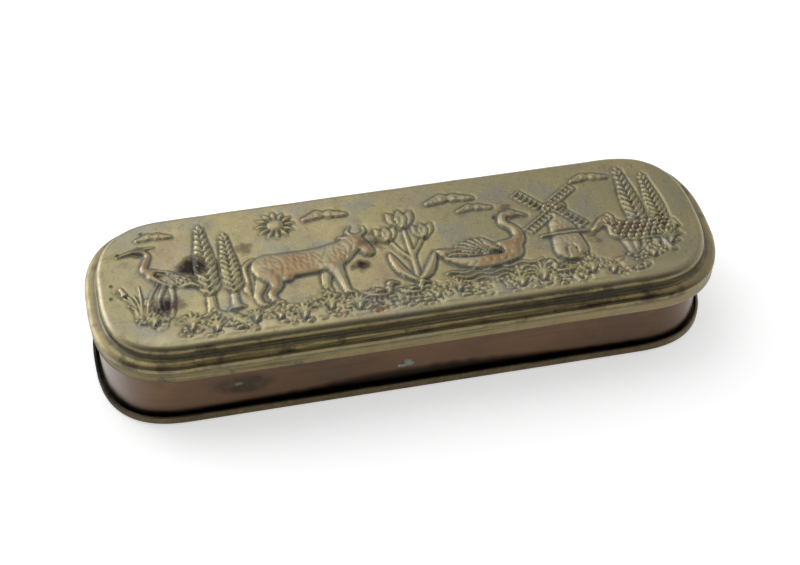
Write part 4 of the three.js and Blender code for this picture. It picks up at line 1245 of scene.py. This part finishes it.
def makeStage(s):
    half = s["floorSize"] / 2
    mesh = bpy.data.meshes.new("floor")
    corners = [(-half, -half, 0), (half, -half, 0), (half, half, 0), (-half, half, 0)]
    mesh.from_pydata(corners, [], [(0, 1, 2, 3)])
    floor = bpy.data.objects.new("floor", mesh)
    floor.location.z = -s["floorDrop"]
    bpy.context.scene.collection.objects.link(floor)
    paper = bpy.data.materials.new("white_paper_matt")
    paper.use_nodes = True
    tree = paper.node_tree
    tree.nodes.clear()
    path = addNode(tree, "ShaderNodeLightPath").outputs
    seen = path["Is Camera Ray"]
    for ray in ("Is Glossy Ray", "Is Transmission Ray"):
        seen = addNode(tree, "ShaderNodeMath", {0: seen, 1: path[ray]}, operation="MAXIMUM").outputs[0]
    glow = addNode(tree, "ShaderNodeMath", {0: seen, 1: s["floorGlow"]}, operation="MULTIPLY").outputs[0]
    matt = addNode(tree, "ShaderNodeBsdfDiffuse", {"Color": (s["floorDiffuse"],) * 3 + (1,)}).outputs[0]
    light = addNode(tree, "ShaderNodeEmission", {"Color": (1, 1, 1, 1), "Strength": glow}).outputs[0]
    both = addNode(tree, "ShaderNodeAddShader", {0: matt, 1: light}).outputs[0]
    addNode(tree, "ShaderNodeOutputMaterial", {"Surface": both})
    mesh.materials.append(paper)

    world = bpy.data.worlds.new("studio")
    bpy.context.scene.world = world
    world.use_nodes = True
    tree = world.node_tree
    tree.nodes.clear()
    direction = addNode(tree, "ShaderNodeTexCoord").outputs["Generated"]
    toward = addNode(tree, "ShaderNodeSeparateXYZ", {0: direction}).outputs
    height = addNode(tree, "ShaderNodeMapRange", {
        "Value": toward["Z"], "From Min": s["overheadFrom"], "From Max": s["overheadTo"],
        "To Min": s["horizon"], "To Max": s["overhead"],
    }, interpolation_type="SMOOTHSTEP").outputs["Result"]
    side = addNode(tree, "ShaderNodeMapRange", {
        "Value": toward["Y"], "From Min": s["sideFrom"], "From Max": s["sideTo"],
        "To Min": s["cameraSide"], "To Max": 1.0,
    }, interpolation_type="SMOOTHSTEP").outputs["Result"]
    room = addNode(tree, "ShaderNodeMath", {0: height, 1: side}, operation="MULTIPLY").outputs[0]
    path = addNode(tree, "ShaderNodeLightPath")
    strength = addNode(tree, "ShaderNodeMix", {0: path.outputs["Is Camera Ray"], 2: room, 3: 1.0}).outputs[0]
    shown = addNode(tree, "ShaderNodeBackground", {"Color": (1, 1, 1, 1), "Strength": strength}).outputs[0]
    addNode(tree, "ShaderNodeOutputWorld", {"Surface": shown})

    for k, (place, size, power) in enumerate(s["lamps"], 1):
        lamp = bpy.data.lights.new(f"soft_box_{k}", "AREA")
        lamp.size, lamp.energy = size, power
        holder = bpy.data.objects.new(lamp.name, lamp)
        holder.location = place
        holder.rotation_euler = (-holder.location).to_track_quat("-Z", "Y").to_euler()
        bpy.context.scene.collection.objects.link(holder)


makeStage(stageLook)

# camera at the photograph's angle, for an image of 800 by 565
photoCamera = {
    "place": (-0.0728, -0.3426, 0.3473), "tilt": 46.31, "heading": -12.07, "lens": 82.67, "sensor": 36.0,
}
camera = bpy.data.objects.new("camera", bpy.data.cameras.new("camera"))
camera.location = photoCamera["place"]
camera.rotation_euler = (math.radians(photoCamera["tilt"]), 0, math.radians(photoCamera["heading"]))
camera.data.lens, camera.data.sensor_width = photoCamera["lens"], photoCamera["sensor"]
bpy.context.scene.collection.objects.link(camera)
bpy.context.scene.camera = camera
bpy.context.scene.view_settings.view_transform = "Standard"
print("stage and camera set")
